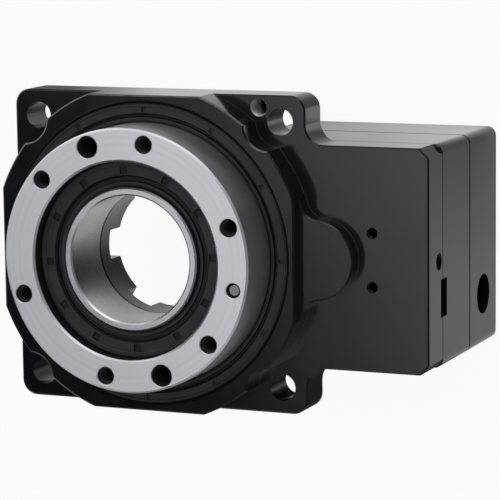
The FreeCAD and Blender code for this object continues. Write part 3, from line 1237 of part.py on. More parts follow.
def build():
    """All the sub-parts, each under the name of its node."""
    lower, upper = bearing_outer_halves()
    outer_r = "(ball_bearing_d / 2)"
    inner_r = "(journal_d / 2)"
    sub_parts = {
        "housing": housing(),
        "hollow_sleeve": hollow_sleeve(),
        "slotted_tie_bush": slotted_tie_bush(),
        "bearing_inner_ring": bearing_inner_ring(),
        "bearing_outer_ring_lower": lower,
        "bearing_outer_ring_upper": upper,
        "crossed_rollers": crossed_rollers(),
        "roller_spacers": roller_spacers(),
        "table_ring": table_ring(),
        "locating_pin": locating_pin(),
        "inner_oil_seal": inner_oil_seal(),
        "outer_oil_seal": outer_oil_seal(),
        "ring_gear": ring_gear(),
        "gear_screws": gear_screws(),
        "pinion_shaft": pinion_shaft(),
        "pinion_bearing_outer_rings": ball_bearing_rings("pinion_bearing_outer_rings", outer_r,
                                                         f"({BALL_PITCH_R} + ball_ring_gap)"),
        "pinion_bearing_inner_rings": ball_bearing_rings("pinion_bearing_inner_rings",
                                                         f"({BALL_PITCH_R} - ball_ring_gap)", inner_r),
        "bearing_balls": bearing_balls(),
        "ball_cages": ball_cages(),
        "bearing_spacer": bearing_spacer(),
        "case_retaining_ring": case_retaining_ring(),
        "shaft_retaining_ring": shaft_retaining_ring(),
        "gear_case": gear_case(),
        "case_seal_ring": case_seal_ring(),
        "motor_flange": motor_flange(),
        "adapter_screws": adapter_screws(),
        "dowels": dowels(),
        "clamp_ring": clamp_ring(),
        "clamp_screw": clamp_screw(),
    }
    doc.recompute()
    for label, piece in sub_parts.items():
        piece.Label = label
    return sub_parts


def check(sub_parts):
    """Stops before anything is written if an object failed or a shape isn't sound."""
    failed = [thing.Label for thing in doc.Objects if {"Invalid", "Error"} & set(thing.State)]
    unsound = [label for label, piece in sub_parts.items()
               if piece.Shape.isNull() or not piece.Shape.isValid()]
    if failed or unsound:
        raise RuntimeError("failed: %s, unsound: %s" % (failed, unsound))


def write(sub_parts):
    os.makedirs("parts", exist_ok=True)
    for label, piece in sub_parts.items():
        piece.Shape.exportStep("parts/%s.step" % label)
        print(label, len(piece.Shape.Solids), "solids", round(piece.Shape.Volume), "mm3")


PIECES = build()
check(PIECES)
write(PIECES)
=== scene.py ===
import json
import math

import bpy
from bpy.props import FloatProperty, FloatVectorProperty, IntProperty, PointerProperty
from mathutils import Euler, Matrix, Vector


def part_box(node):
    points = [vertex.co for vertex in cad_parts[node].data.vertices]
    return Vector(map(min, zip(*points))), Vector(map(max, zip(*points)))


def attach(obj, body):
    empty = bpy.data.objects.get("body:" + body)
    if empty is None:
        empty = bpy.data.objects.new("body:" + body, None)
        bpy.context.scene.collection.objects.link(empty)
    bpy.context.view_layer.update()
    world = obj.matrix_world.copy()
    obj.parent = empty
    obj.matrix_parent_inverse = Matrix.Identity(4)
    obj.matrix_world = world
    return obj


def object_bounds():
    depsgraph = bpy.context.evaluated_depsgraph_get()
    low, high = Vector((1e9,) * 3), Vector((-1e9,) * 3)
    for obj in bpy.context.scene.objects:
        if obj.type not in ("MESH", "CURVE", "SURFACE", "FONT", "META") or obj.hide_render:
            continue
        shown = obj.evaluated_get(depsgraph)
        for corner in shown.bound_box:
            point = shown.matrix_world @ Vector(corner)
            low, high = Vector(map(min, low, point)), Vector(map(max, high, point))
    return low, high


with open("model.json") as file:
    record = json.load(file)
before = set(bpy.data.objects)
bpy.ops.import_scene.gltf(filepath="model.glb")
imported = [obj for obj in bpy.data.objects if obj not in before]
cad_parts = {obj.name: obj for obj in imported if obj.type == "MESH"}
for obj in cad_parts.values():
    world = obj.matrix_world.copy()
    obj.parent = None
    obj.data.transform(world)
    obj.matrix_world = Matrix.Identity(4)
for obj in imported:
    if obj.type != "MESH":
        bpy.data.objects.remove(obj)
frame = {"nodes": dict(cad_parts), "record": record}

bl_info = {
    "name": "Hollow rotary platform",
    "version": (1, 0, 0),
    "blender": (4, 5, 0),
    "location": "3D View > Sidebar > Platform",
    "description": "Finishes, threads and studio for a geared rotary table with a hollow bore",
    "category": "Object",
}

CAD_BOX = [list(corner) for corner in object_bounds()]
MOUNTS = {mount["name"]: mount for mount in frame["record"]["mounts"]}
MM = 0.001

# The two corners of a box.
LOW, HIGH = 0, 1

# The housing's finish, and the slot that the threads in the housing and adapter take.
ANODISED = "black_anodised_aluminium"

# Noises: the span that holds nearly all of their values, and their repeats per metre.
NOISE_SPAN = (0.3, 0.7)
ANODISED_CLOUDS = 55.0
WORN_PATCHES = 240.0
TURNED_CLOUDS = 90.0
RUBBER_SKIN = 2600.0
RUBBER_BLOOM = 130.0
MOULD_RINGS = 900.0
PLASTIC_FLOW = 220.0
PLASTIC_SKIN = 3000.0

# How far a surface faces along the turning axis: the most that a wall does, the span of a
# chamfer, and the span from wall to face.
WALL_FACING = 0.3
CHAMFER_FACING = (0.55, 0.85)
WALL_TO_FACE = (0.2, 0.8)

# Black anodising: ramps and tone of its clouds, speckle and worn patches, and which normals look
# to the far left; the far left edges get a painted highlight.
CLOUD_SPAN = (0.35, 0.65)
SPECKLE = (0.62, 0.78, 0.0, 0.5)
SPECKLE_TONE = 1.9
SPECKLE_ROUGH = 0.03
WORN = (0.3, 0.6, 0.35, 1.0)
FAR_LEFT = (-0.3, 0.4)

# Turned metal: wide tool marks for each fine one, share of the fine ones in the tone, spread of
# the gloss, the painted shade of a well, the tone of a dark seam, and the painted shade and gloss
# of bores.
WIDE_MARKS = 0.12
FINE_SHARE = 0.6
GLOSS_SPREAD = 0.13
WELL_TONE = 0.12
SEAM_TONE = 0.03
BORE_TONE = 0.015
BORE_ROUGH = 0.9

# Spacing of the tool marks on ground and on coarsely machined pieces, as shares of the usual.
GROUND_MARKS = 0.5
COARSE_MARKS = 1.5

# How far a bump stands out: the share of a mark's or grain's size, and the moulded skins.
BUMP_SHARE = 0.1
RUBBER_GRAIN = 0.00006
PLASTIC_GRAIN = 0.00003

# Rubber: ramp of its bloom, gloss, and the levels of pockets and grooves from the seal's face.
BLOOM_SPAN = (0.35, 0.7)
RUBBER_SPECULAR = 0.28
RUBBER_SKIN_ROUGH = 0.08
POCKET_LEVELS = (-0.00095, -0.0005)
GROOVE_LEVEL = -0.0013
# Painted shade in the seals' grooves.
GROOVE_SHADE = 0.15

# Thread ridges: shares of the pitch, and how their meshes are made.
RIDGE_SHARE = 0.42
SUNK_SHARE = 0.06
MOUTH_SHARE = 0.6
FEWEST_TURNS = 2
WIDE_HOLE_STEPS = 24
NARROW_HOLE_STEPS = 20
WELD = 1e-7
SMOOTH_ANGLE = math.radians(30)

# How a hole is turned: open to the top, to the right or to the rear.
FROM_TOP = (0, 0, 0)
FROM_RIGHT = (0, math.radians(90), 0)
FROM_REAR = (math.radians(180), 0, 0)

# The floor's sheet, and the camera's sensor in millimetres and nearest distance.
FLOOR_SIZE = 8.0
FLOOR_GAP = 0.0006
FLOOR_ROUGH = 0.9
SENSOR = 36.0
NEAREST = 0.01

# The floor's painted shade and light, seen only in reflections: ramps from place to place, with the
# tones at both ends.
UNDER_REACH = (0.011, 0.056)
UNDER_LIGHTEST = 0.6
NEAR_BAND_Y = -0.085
NEAR_BAND = (0.03, 0.05, 0.1, 1.0)
NEAR_END = (-0.45, -0.3, 0.25, 1.0)
FAR_START = (0.03, 0.038)
FARTHEST_START = (0.046, 0.054)
FAR_TONES = (0.03, 0.085, 0.66, 1.0)
FARTHEST_TONES = (0.02, 0.06, 0.86, 0.34)
LEFT_BAND_X = -0.08
LEFT_BAND = (0.015, 0.05, 0.2, 1.0)
NOSE_START = (0.082, 0.096)
NOSE_DEPTH = (-0.02, 0.03)
NOSE_FAR_SHARE = 0.58

# The room's light by direction: brightest in a strip at the left, softer overhead, and dim at
# the lower left, the right and the near side.
CORNER_LEAN = 0.6
LOWER_LEFT = (-0.49, -0.392)
LEFT_LIGHT = 1.8
OVERHEAD = (-0.3, 0.1, 1.0, 0.36)
RIGHT_SIDE = (0.5, 0.65, 1.0, 0.25)
NEAR_SIDE = (-0.9, -0.75, 0.25, 1.0)


def node_middle(name):
    """Middle of a CAD node's box, where its own axis runs."""
    low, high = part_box(name)
    return (Vector(low) + Vector(high)) / 2


def node_level(name, end):
    """Lowest or highest level of a CAD node."""
    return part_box(name)[end][2]


def node_right(name):
    """Right end of a CAD node: the outer radius of a ring round the table's axis."""
    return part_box(name)[HIGH][0]


def mount_place(name):
    """Place of a mount in the CAD record."""
    return Vector(MOUNTS[name]["pos_m"])


PINION_X = node_middle("clamp_ring").x

# The ears, the flange and the nose share one face.
EAR_LEVEL = mount_place("sensor_bracket_holes").z


class Field:
    """A socket's value in a node tree, with the arithmetic that the finishes use."""

    def __init__(self, finish, socket):
        self.finish = finish
        self.socket = socket

    def __add__(self, other):
        return self.finish.calc("ADD", self, other)

    def __radd__(self, other):
        return self.finish.calc("ADD", other, self)

    def __sub__(self, other):
        return self.finish.calc("SUBTRACT", self, other)

    def __rsub__(self, other):
        return self.finish.calc("SUBTRACT", other, self)

    def __mul__(self, other):
        return self.finish.calc("MULTIPLY", self, other)

    def __rmul__(self, other):
        return self.finish.calc("MULTIPLY", other, self)

    def __pow__(self, other):
        return self.finish.calc("POWER", self, other)

    def __abs__(self):
        return self.finish.calc("ABSOLUTE", self)

    def above(self, limit):
        """One above the limit, else zero."""
        return self.finish.calc("GREATER_THAN", self, limit)

    def below(self, limit):
        """One below the limit, else zero."""
        return self.finish.calc("LESS_THAN", self, limit)

    def between(self, low, high):
        """One between the limits, else zero."""
        return self.above(low) * self.below(high)

    def either(self, other):
        """The larger of two values."""
        return self.finish.calc("MAXIMUM", self, other)

    def part(self, axis):
        """One axis of a vector."""
        return self.finish.node("ShaderNodeSeparateXYZ", {}, {0: self}, axis)

    def ramp(self, low, high, to_low=0.0, to_high=1.0):
        """Straight ramp from one span to another, level outside it."""
        return self.finish.node("ShaderNodeMapRange", {"clamp": True}, {
            "Value": self, "From Min": low, "From Max": high, "To Min": to_low, "To Max": to_high})


def distance(x, y):
    """Distance from an axis, from two places across it."""
    return (x * x + y * y) ** 0.5


class Finish:
    """The nodes of a material or of the world."""

    def __init__(self, tree):
        self.tree = tree

    def node(self, kind, settings, inputs, output=0):
        """Adds a node with its settings and its sockets' values or links, and gives one output."""
        made = self.tree.nodes.new(kind)
        for setting, value in settings.items():
            setattr(made, setting, value)
        self.fill(made, inputs)
        return Field(self, made.outputs[output])

    def fill(self, node, inputs):
        """Sets or links a node's sockets."""
        for key, value in inputs.items():
            if isinstance(value, Field):
                self.tree.links.new(value.socket, node.inputs[key])
            else:
                node.inputs[key].default_value = value

    def calc(self, operation, first, second=0.0):
        """One step of arithmetic."""
        return self.node("ShaderNodeMath", {"operation": operation}, {0: first, 1: second})

    def place(self, centre_x=0.0):
        """Object coordinates, counted from the axis that a turned piece has."""
        spot = self.node("ShaderNodeTexCoord", {}, {}, "Object")
        if centre_x:
            spot = self.node("ShaderNodeMapping", {},
                             {"Vector": spot, "Location": (-centre_x, 0, 0)})
        return spot

    def normal(self):
        """Way that the surface faces."""
        return self.node("ShaderNodeNewGeometry", {}, {}, "Normal")

    def upright(self):
        """How far the surface faces along the turning axis, either way."""
        return abs(self.normal().part("Z"))

    def round_place(self, centre_x=0.0):
        """Distance from the turning axis, and the level along it."""
        spot = self.place(centre_x)
        return distance(spot.part("X"), spot.part("Y")), spot.part("Z")

    def rays(self, kind):
        """One for light paths of a kind, else zero."""
        return self.node("ShaderNodeLightPath", {}, {}, "Is %s Ray" % kind)

    def noise(self, vector, scale, detail=3.0):
        """Soft noise in all directions."""
        return self.node("ShaderNodeTexNoise", {},
                         {"Vector": vector, "Scale": scale, "Detail": detail}, "Fac")

    def lathe_lines(self, centre_x, per_metre, detail=4.0):
        """Tool marks: rings on a face that looks along the axis, and hoops on a round side."""
        radius, level = self.round_place(centre_x)
        facing = self.upright()
        along = radius * facing + level * (1 - facing)
        return self.node("ShaderNodeTexNoise", {"noise_dimensions": "1D"},
                         {"W": along, "Scale": per_metre, "Detail": detail}, "Fac")

    def blend(self, factor, first, second):
        """Mix of two colours."""
        return self.node("ShaderNodeMix", {"data_type": "RGBA"},
                         {0: factor, 6: first, 7: second}, 2)

    def tones(self, factor, colour, dark, light):
        """A colour that goes from a darker to a lighter tone."""
        return self.blend(factor, shade(colour, dark), shade(colour, light))

    def bump(self, height, strength, depth):
        """Normal that follows a height."""
        return self.node("ShaderNodeBump", {},
                         {"Height": height, "Strength": strength, "Distance": depth})


def new_finish(name, surface):
    """Material whose principled shader takes the surface's constants and links."""
    material = bpy.data.materials.new(name)
    material.use_nodes = True
    finish = Finish(material.node_tree)
    finish.fill(material.node_tree.nodes["Principled BSDF"], surface(finish))
    return material


def shade(colour, share):
    """A colour with its light scaled."""
    return tuple(channel * share for channel in colour[:3]) + (1.0,)


def anodised_finish(colour, highlight_colour, grain, seat_r, raised, foot):
    """Blasted black anodising: fine grain, faint clouds, and a painted highlight: thin lighter
    lines on the raised body's far left edges and at its foot, in patches."""
    def surface(finish):
        spot = finish.place()
        clouds = finish.noise(spot, ANODISED_CLOUDS, detail=2.0)
        speckle = finish.noise(spot, 1.0 / grain, detail=4.0)
        patches = finish.noise(spot, WORN_PATCHES).ramp(*WORN)
        normal = finish.normal()
        facing = abs(normal.part("Z"))
        radius, level = finish.round_place()
        edge = facing.between(*CHAMFER_FACING) * radius.above(seat_r) * level.above(raised)
        # Painted highlight: chamfered edges that face the far left, and a thin line at the raised
        # body's foot, are lightened as if light fell on them.
        far_left = (normal.part("Y") - normal.part("X")).ramp(*FAR_LEFT)
        foot_highlight = facing.below(WALL_FACING) * level.between(*foot)
        painted_highlight = (edge * far_left + foot_highlight) * patches
        body = finish.tones(clouds.ramp(*CLOUD_SPAN), colour, dark=0.85, light=1.2)
        body = finish.blend(speckle.ramp(*SPECKLE), body, shade(colour, SPECKLE_TONE))
        rough = clouds.ramp(*NOISE_SPAN, to_low=0.11, to_high=0.15)
        return {
            "Base Color": finish.blend(painted_highlight, body, shade(highlight_colour, 1.0)),
            "Roughness": rough + speckle * SPECKLE_ROUGH,
            "Normal": finish.bump(speckle, strength=0.1, depth=grain * BUMP_SHARE),
        }
    return new_finish(ANODISED, surface)


def bore_shade(finish, circle_r, turn, step, reach, face):
    """One inside the holes that lie on a bolt circle at every step of angle, else zero."""
    spot = finish.place()
    x, y, z = (spot.part(axis) for axis in "XYZ")
    radius = distance(x, y)
    folded = finish.calc("PINGPONG", finish.calc("ARCTAN2", y, x) - turn, step / 2)
    across = radius * finish.calc("SINE", folded)
    along = radius * finish.calc("COSINE", folded) - circle_r
    return (across * across + along * along).below(reach * reach) * z.below(face)


def turned_finish(name, colour, marks, rough, centre_x=0.0, metal=1.0, relief=0.12,
                  side=None, well_r=0.0, seam=None, bores=None):
    """Turned metal: tool marks that run round the axis and faint clouds in its gloss. A side has
    its own tone, a painted shade, and its own gloss; a well and bores get painted shade, and a seam
    is a dark joint."""
    def surface(finish):
        lines = finish.lathe_lines(centre_x, 1.0 / marks)
        wide_lines = finish.lathe_lines(centre_x, WIDE_MARKS / marks, detail=2.0)
        clouds = finish.noise(finish.place(centre_x), TURNED_CLOUDS)
        tone = lines * FINE_SHARE + wide_lines * (1 - FINE_SHARE)
        skin = finish.tones(tone.ramp(*NOISE_SPAN), colour, dark=0.92, light=1.05)
        gloss = lines.ramp(*NOISE_SPAN, to_low=rough * (1 - GLOSS_SPREAD),
                           to_high=rough * (1 + GLOSS_SPREAD))
        gloss = gloss + clouds.ramp(*NOISE_SPAN, to_low=-0.02, to_high=0.03)
        metal_share = metal
        # A side's own tone is a painted shade: the side wall is set a little darker for how light
        # falls on it.
        if side:
            side_tone, side_rough = side
            facing = finish.upright()
            # Painted shade: the wall of the well above the seal is darkened as if in shade.
            in_well = finish.round_place()[0].below(well_r)
            wall = finish.blend(in_well, shade(colour, side_tone), shade(colour, WELL_TONE))
            skin = finish.blend(facing.ramp(*WALL_TO_FACE), wall, skin)
            gloss = gloss + facing.ramp(*WALL_TO_FACE, to_low=side_rough - rough, to_high=0.0)
        if seam:
            middle, reach = seam
            in_seam = abs(finish.round_place()[1] - middle).below(reach)
            skin = finish.blend(in_seam, skin, shade(colour, SEAM_TONE))
        if bores:
            # Painted shade: the walls of the tapped holes go dark, matt and not metallic, as if in
            # shade.
            in_bore = bore_shade(finish, *bores)
            skin = finish.blend(in_bore, skin, shade(colour, BORE_TONE))
            gloss = gloss + in_bore * (BORE_ROUGH - rough)
            metal_share = metal - in_bore * metal
        return {
            "Base Color": skin,
            "Metallic": metal_share,
            "Roughness": gloss,
            "Normal": finish.bump(lines, relief, marks * BUMP_SHARE),
        }
    return new_finish(name, surface)


def rubber_finish(name, colour, face, pocket_shade):
    """Moulded rubber: matt skin with fine grain, faint mould rings, and painted shade that darkens
    the pockets and grooves below the face."""
    def surface(finish):
        spot = finish.place()
        level = spot.part("Z") - face
        skin = finish.noise(spot, RUBBER_SKIN, detail=4.0)
        bloom = finish.noise(spot, RUBBER_BLOOM)
        rings = finish.lathe_lines(0.0, MOULD_RINGS, detail=3.0)
        relief = skin * FINE_SHARE + rings * (1 - FINE_SHARE)
        rough = bloom.ramp(*NOISE_SPAN, to_low=0.36, to_high=0.46)
        tone = finish.tones(bloom.ramp(*BLOOM_SPAN), colour, dark=0.8, light=1.3)
        # Painted shade: pockets and grooves below the face are darkened as if in shade.
        tone = finish.blend(level.between(*POCKET_LEVELS), tone, shade(colour, pocket_shade))
        tone = finish.blend(level.below(GROOVE_LEVEL), tone, shade(colour, GROOVE_SHADE))
        return {
            "Base Color": tone,
            "Roughness": rough + skin * RUBBER_SKIN_ROUGH,
            "Specular IOR Level": RUBBER_SPECULAR,
            "Normal": finish.bump(relief, strength=0.2, depth=RUBBER_GRAIN),
        }
    return new_finish(name, surface)


def plastic_finish(colour):
    """Moulded plastic of the spacers and cages: soft gloss with flow marks."""
    def surface(finish):
        spot = finish.place()
        flow = finish.noise(spot, PLASTIC_FLOW, detail=4.0)
        skin = finish.noise(spot, PLASTIC_SKIN, detail=2.0)
        return {
            "Base Color": finish.tones(flow, colour, dark=0.85, light=1.08),
            "Roughness": flow.ramp(*NOISE_SPAN, to_low=0.4, to_high=0.52),
            "Normal": finish.bump(skin, strength=0.1, depth=PLASTIC_GRAIN),
        }
    return new_finish("spacer_plastic", surface)


def dress(material, *names):
    """Puts a finish on CAD nodes."""
    for name in names:
        slots = frame["nodes"][name].data.materials
        slots.clear()
        slots.append(material)


def deselect_all():
    """Leaves nothing selected, so that the next operator acts on its own piece alone."""
    bpy.ops.object.select_all(action="DESELECT")


def at_origin(piece):
    """Leaves the piece's place in its mesh."""
    deselect_all()
    bpy.context.view_layer.objects.active = piece
    piece.select_set(True)
    bpy.ops.object.transform_apply(location=True, rotation=True, scale=True)


def thread_ridge(name, hole_r, pitch, deep, steps):
    """One helical thread ridge on the inside of a hole, from z = 0 down to its depth."""
    half = pitch * RIDGE_SHARE
    root_r = hole_r + pitch * SUNK_SHARE
    corners = ((hole_r - half, 0.0, 0.0), (root_r, 0.0, half), (root_r, 0.0, -half))
    deselect_all()
    bpy.ops.mesh.primitive_circle_add(vertices=len(corners), radius=1.0, fill_type="NOTHING",
                                      location=(0, 0, 0))
    piece = bpy.context.object
    piece.name = piece.data.name = name
    for vertex, corner in zip(piece.data.vertices, corners):
        vertex.co = corner
    screw = piece.modifiers.new("helix", "SCREW")
    screw.axis = "Z"
    screw.angle = math.tau
    screw.screw_offset = -pitch
    screw.iterations = max(FEWEST_TURNS, int(deep / pitch) - 1)
    screw.steps = steps
    screw.render_steps = steps
    screw.use_smooth_shade = False
    bpy.ops.object.modifier_apply(modifier=screw.name)
    bpy.ops.object.mode_set(mode="EDIT")
    bpy.ops.mesh.select_all(action="SELECT")
    bpy.ops.mesh.remove_doubles(threshold=WELD)
    bpy.ops.mesh.select_all(action="DESELECT")
    bpy.ops.mesh.select_mode(type="EDGE")
    bpy.ops.mesh.select_non_manifold()
    bpy.ops.mesh.fill()
    bpy.ops.mesh.select_all(action="SELECT")
    bpy.ops.mesh.normals_make_consistent(inside=False)
    bpy.ops.object.mode_set(mode="OBJECT")
    bpy.ops.object.shade_smooth_by_angle(angle=SMOOTH_ANGLE)
    if not piece.data.polygons:
        raise RuntimeError(name + " has no faces")
    return piece


def placed_copies(pattern, places, turn, body, material):
    """Copies of a thread at the mouths of its holes, each with its own mesh."""
    for index, place in enumerate(places):
        piece = pattern.copy()
        piece.data = pattern.data.copy()
        piece.name = piece.data.name = "%s_%d" % (pattern.name, index + 1)
        bpy.context.scene.collection.objects.link(piece)
        piece.location = place
        piece.rotation_euler = turn
        at_origin(piece)
        piece.data.materials.append(material)
        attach(piece, body)
    bpy.data.objects.remove(pattern)


def ring_places(circle, count, turn, level, centre_x=0.0):
    """Places that are spread evenly on a bolt circle."""
    places = []
    for index in range(count):
        angle = turn + index * math.tau / count
        places.append(Vector((centre_x + circle / 2 * math.cos(angle),
                              circle / 2 * math.sin(angle), level)))
    return places


class PlatformSizes(bpy.types.PropertyGroup):
    """Thread sizes and the scale of the finishes."""
    table_thread_circle: FloatProperty(
        name="Table hole circle", description="Bolt circle of the table's holes",
        default=0.074, unit="LENGTH")
    table_thread_count: IntProperty(
        name="Table holes", description="Tapped holes in the table", default=6)
    table_thread_turn: FloatProperty(
        name="First table hole", description="Angle of the first tapped hole",
        default=math.radians(18.8), subtype="ANGLE")
    table_hole_step: FloatProperty(
        name="Table hole step", description="Angle that every table hole's place is a multiple of",
        default=math.radians(30.0), subtype="ANGLE")
    table_thread_bore: FloatProperty(
        name="Table hole bore", description="Core diameter of the table's holes",
        default=0.0052, unit="LENGTH")
    table_thread_pitch: FloatProperty(
        name="Table thread pitch", description="Pitch of the table's threads",
        default=0.001, unit="LENGTH")
    table_thread_deep: FloatProperty(
        name="Table thread depth", description="Depth of the table's threads",
        default=0.0115, unit="LENGTH")
    hole_edge: FloatProperty(
        name="Hole edge", description="Countersink of the table's holes",
        default=0.0004, unit="LENGTH")
    bore_reach: FloatProperty(
        name="Bore reach", description="How far round a table hole's axis its shade goes",
        default=0.0038, unit="LENGTH")
    lifting_bore: FloatProperty(
        name="Lifting hole bore", description="Core diameter of the lifting hole",
        default=0.0058, unit="LENGTH")
    lifting_pitch: FloatProperty(
        name="Lifting thread pitch", description="Pitch of the lifting hole's thread",
        default=0.001, unit="LENGTH")
    lifting_deep: FloatProperty(
        name="Lifting thread depth", description="Depth of the lifting hole's thread",
        default=0.0092, unit="LENGTH")
    sensor_bore: FloatProperty(
        name="Sensor hole bore", description="Core diameter of the sensor bracket holes",
        default=0.0036, unit="LENGTH")
    sensor_pitch: FloatProperty(
        name="Sensor thread pitch", description="Pitch of the sensor bracket threads",
        default=0.0007, unit="LENGTH")
    sensor_deep: FloatProperty(
        name="Sensor thread depth", description="Depth of the sensor bracket threads",
        default=0.0076, unit="LENGTH")
    port_bore: FloatProperty(
        name="Grease port bore", description="Core diameter of the grease port",
        default=0.0054, unit="LENGTH")
    port_pitch: FloatProperty(
        name="Grease port pitch", description="Pitch of the grease port's thread",
        default=0.001, unit="LENGTH")
    port_deep: FloatProperty(
        name="Grease port depth", description="Depth of the grease port's thread",
        default=0.0082, unit="LENGTH")
    motor_circle: FloatProperty(
        name="Motor screw circle", description="Bolt circle of the motor screws",
        default=0.07, unit="LENGTH")
    motor_count: IntProperty(
        name="Motor holes", description="Motor screw holes in the motor flange", default=4)
    motor_turn: FloatProperty(
        name="First motor hole", description="Angle of the first motor screw hole",
        default=math.radians(45.0), subtype="ANGLE")
    motor_bore: FloatProperty(
        name="Motor hole bore", description="Core diameter of the motor screw holes",
        default=0.0042, unit="LENGTH")
    motor_pitch: FloatProperty(
        name="Motor thread pitch", description="Pitch of the motor screw threads",
        default=0.0008, unit="LENGTH")
    motor_deep: FloatProperty(
        name="Motor thread depth", description="Depth of the motor screw threads",
        default=0.0078, unit="LENGTH")
    seat_edge: FloatProperty(
        name="Seat edge", description="Reach of the outer seal's lead-in chamfer, which stays dark",
        default=0.0015, unit="LENGTH")
    # Height of the painted highlight line at the raised body's foot.
    foot_highlight: FloatProperty(
        name="Foot line", description="Height of the light line at the raised body's foot",
        default=0.00045, unit="LENGTH")
    bush_seam: FloatProperty(
        name="Bush seam",
        description="How far the dark seam between sleeve and bush reaches to each side",
        default=0.0005, unit="LENGTH")
    anodised_grain: FloatProperty(
        name="Anodised grain", description="Size of the blasted grain",
        default=0.0004, unit="LENGTH")
    turning_marks: FloatProperty(
        name="Turning marks", description="Spacing of the tool marks",
        default=0.00013, unit="LENGTH")
    screw_marks: FloatProperty(
        name="Screw marks", description="Spacing of the tool marks on the screws",
        default=0.0003, unit="LENGTH")


class PlatformColours(bpy.types.PropertyGroup):
    """Colours of the finishes."""
    anodised: FloatVectorProperty(
        name="Black anodising", description="Housing and adapter",
        subtype="COLOR", default=(0.0038, 0.0038, 0.0048))
    # Colour of the painted highlight on the raised body's far left edges and at its foot.
    anodised_highlight: FloatVectorProperty(
        name="Anodised edge", description="Light edges and foot line of the raised body",
        subtype="COLOR", default=(0.11, 0.11, 0.12))
    bright_steel: FloatVectorProperty(
        name="Bright steel", description="Table ring and hollow sleeve",
        subtype="COLOR", default=(0.80, 0.80, 0.81))
    bush_steel: FloatVectorProperty(
        name="Bush steel", description="Slotted tie bush",
        subtype="COLOR", default=(0.4, 0.4, 0.41))
    # Near-black, matt colour of the table's threads: painted shade inside the tapped holes.
    shaded_thread_colour: FloatVectorProperty(
        name="Thread in painted shade", description="Threads in the table's holes",
        subtype="COLOR", default=(0.014, 0.014, 0.015))
    black_steel: FloatVectorProperty(
        name="Black steel", description="Screws",
        subtype="COLOR", default=(0.03, 0.03, 0.032))
    bearing_steel: FloatVectorProperty(
        name="Bearing steel",
        description="Bearing rings, rollers, balls, dowels and the lifting hole's thread",
        subtype="COLOR", default=(0.56, 0.57, 0.58))
    pin_steel: FloatVectorProperty(
        name="Pin steel", description="Locating pin",
        subtype="COLOR", default=(0.36, 0.36, 0.37))
    gear_steel: FloatVectorProperty(
        name="Gear steel", description="Ring gear and pinion",
        subtype="COLOR", default=(0.40, 0.40, 0.41))
    spring_steel: FloatVectorProperty(
        name="Spring steel", description="Retaining rings and spacer tube",
        subtype="COLOR", default=(0.16, 0.16, 0.17))
    clamp_metal: FloatVectorProperty(
        name="Clamp ring metal", description="Clamp ring",
        subtype="COLOR", default=(0.07, 0.07, 0.073))
    rubber: FloatVectorProperty(
        name="Rubber", description="Seals",
        subtype="COLOR", default=(0.027, 0.027, 0.029))
    plastic: FloatVectorProperty(
        name="Plastic", description="Roller spacers and ball cages",
        subtype="COLOR", default=(0.70, 0.66, 0.55))
    floor: FloatVectorProperty(
        name="Floor", description="Studio floor",
        subtype="COLOR", default=(0.9, 0.9, 0.9))


class PlatformStudio(bpy.types.PropertyGroup):
    """Camera, room light, soft box, and the floor's white and its painted shade in reflections."""
    camera_place: FloatVectorProperty(
        name="Camera place", description="Where the camera stands",
        subtype="TRANSLATION", default=(0.345118, 0.124983, 0.757187))
    camera_turn: FloatVectorProperty(
        name="Camera turn", description="Camera rotation", subtype="EULER",
        default=(math.radians(-9.00264), math.radians(22.76362), math.radians(-0.77391)))
    lens: FloatProperty(
        name="Lens", description="Focal length in millimetres on a 36 mm sensor",
        default=188.541, unit="CAMERA")
    room_colour: FloatVectorProperty(
        name="Room light", description="Colour of the room's light",
        subtype="COLOR", default=(0.95, 0.96, 1.0))
    dim_side: FloatProperty(
        name="Dim side", description="Light of the room's lower left side",
        default=0.02, subtype="FACTOR")
    box_place: FloatVectorProperty(
        name="Soft box place", description="Where the soft box hangs",
        subtype="TRANSLATION", default=(0.15, 0.85, 0.55))
    box_size: FloatProperty(
        name="Soft box size", description="Side of the soft box", default=0.7, unit="LENGTH")
    box_power: FloatProperty(
        name="Soft box power", description="Power of the soft box", default=1.2, unit="POWER")
    floor_glow: FloatProperty(
        name="Floor white", description="Share of the floor that shows as plain white",
        default=0.93, subtype="FACTOR")
    # The floor's painted shade in reflections: its darkest tone, where that lies, and its tone at
    # the nose.
    floor_dim: FloatProperty(
        name="Floor under the object", description="Darkest tone of the floor in reflections",
        default=0.05, subtype="FACTOR")
    shade_place: FloatVectorProperty(
        name="Darkest place",
        description="Where under the object the floor is darkest in reflections",
        size=2, subtype="XYZ", unit="LENGTH", default=(0.003, 0.006))
    floor_right: FloatProperty(
        name="Floor at the nose", description="Tone of the floor's right side in reflections",
        default=0.6, subtype="FACTOR")


class PLATFORM_OT_housing_finish(bpy.types.Operator):
    """Black anodised finish on the housing, the gear case and the motor flange"""
    bl_idname = "platform.housing_finish"
    bl_label = "Finish the housing and adapter"

    def execute(self, context):
        colours = context.scene.platform_colours
        sizes = context.scene.platform_sizes
        # Where the painted highlight goes: edges beyond the outer seal's chamfer near the housing's
        # top, and a line at the foot.
        seat_r = node_right("outer_oil_seal") + sizes.seat_edge
        raised = node_level("housing", HIGH) - sizes.seat_edge
        foot = (EAR_LEVEL, EAR_LEVEL + sizes.foot_highlight)
        finish = anodised_finish(colours.anodised, colours.anodised_highlight, sizes.anodised_grain,
                                 seat_r, raised, foot)
        dress(finish, "housing", "gear_case", "motor_flange")
        return {"FINISHED"}


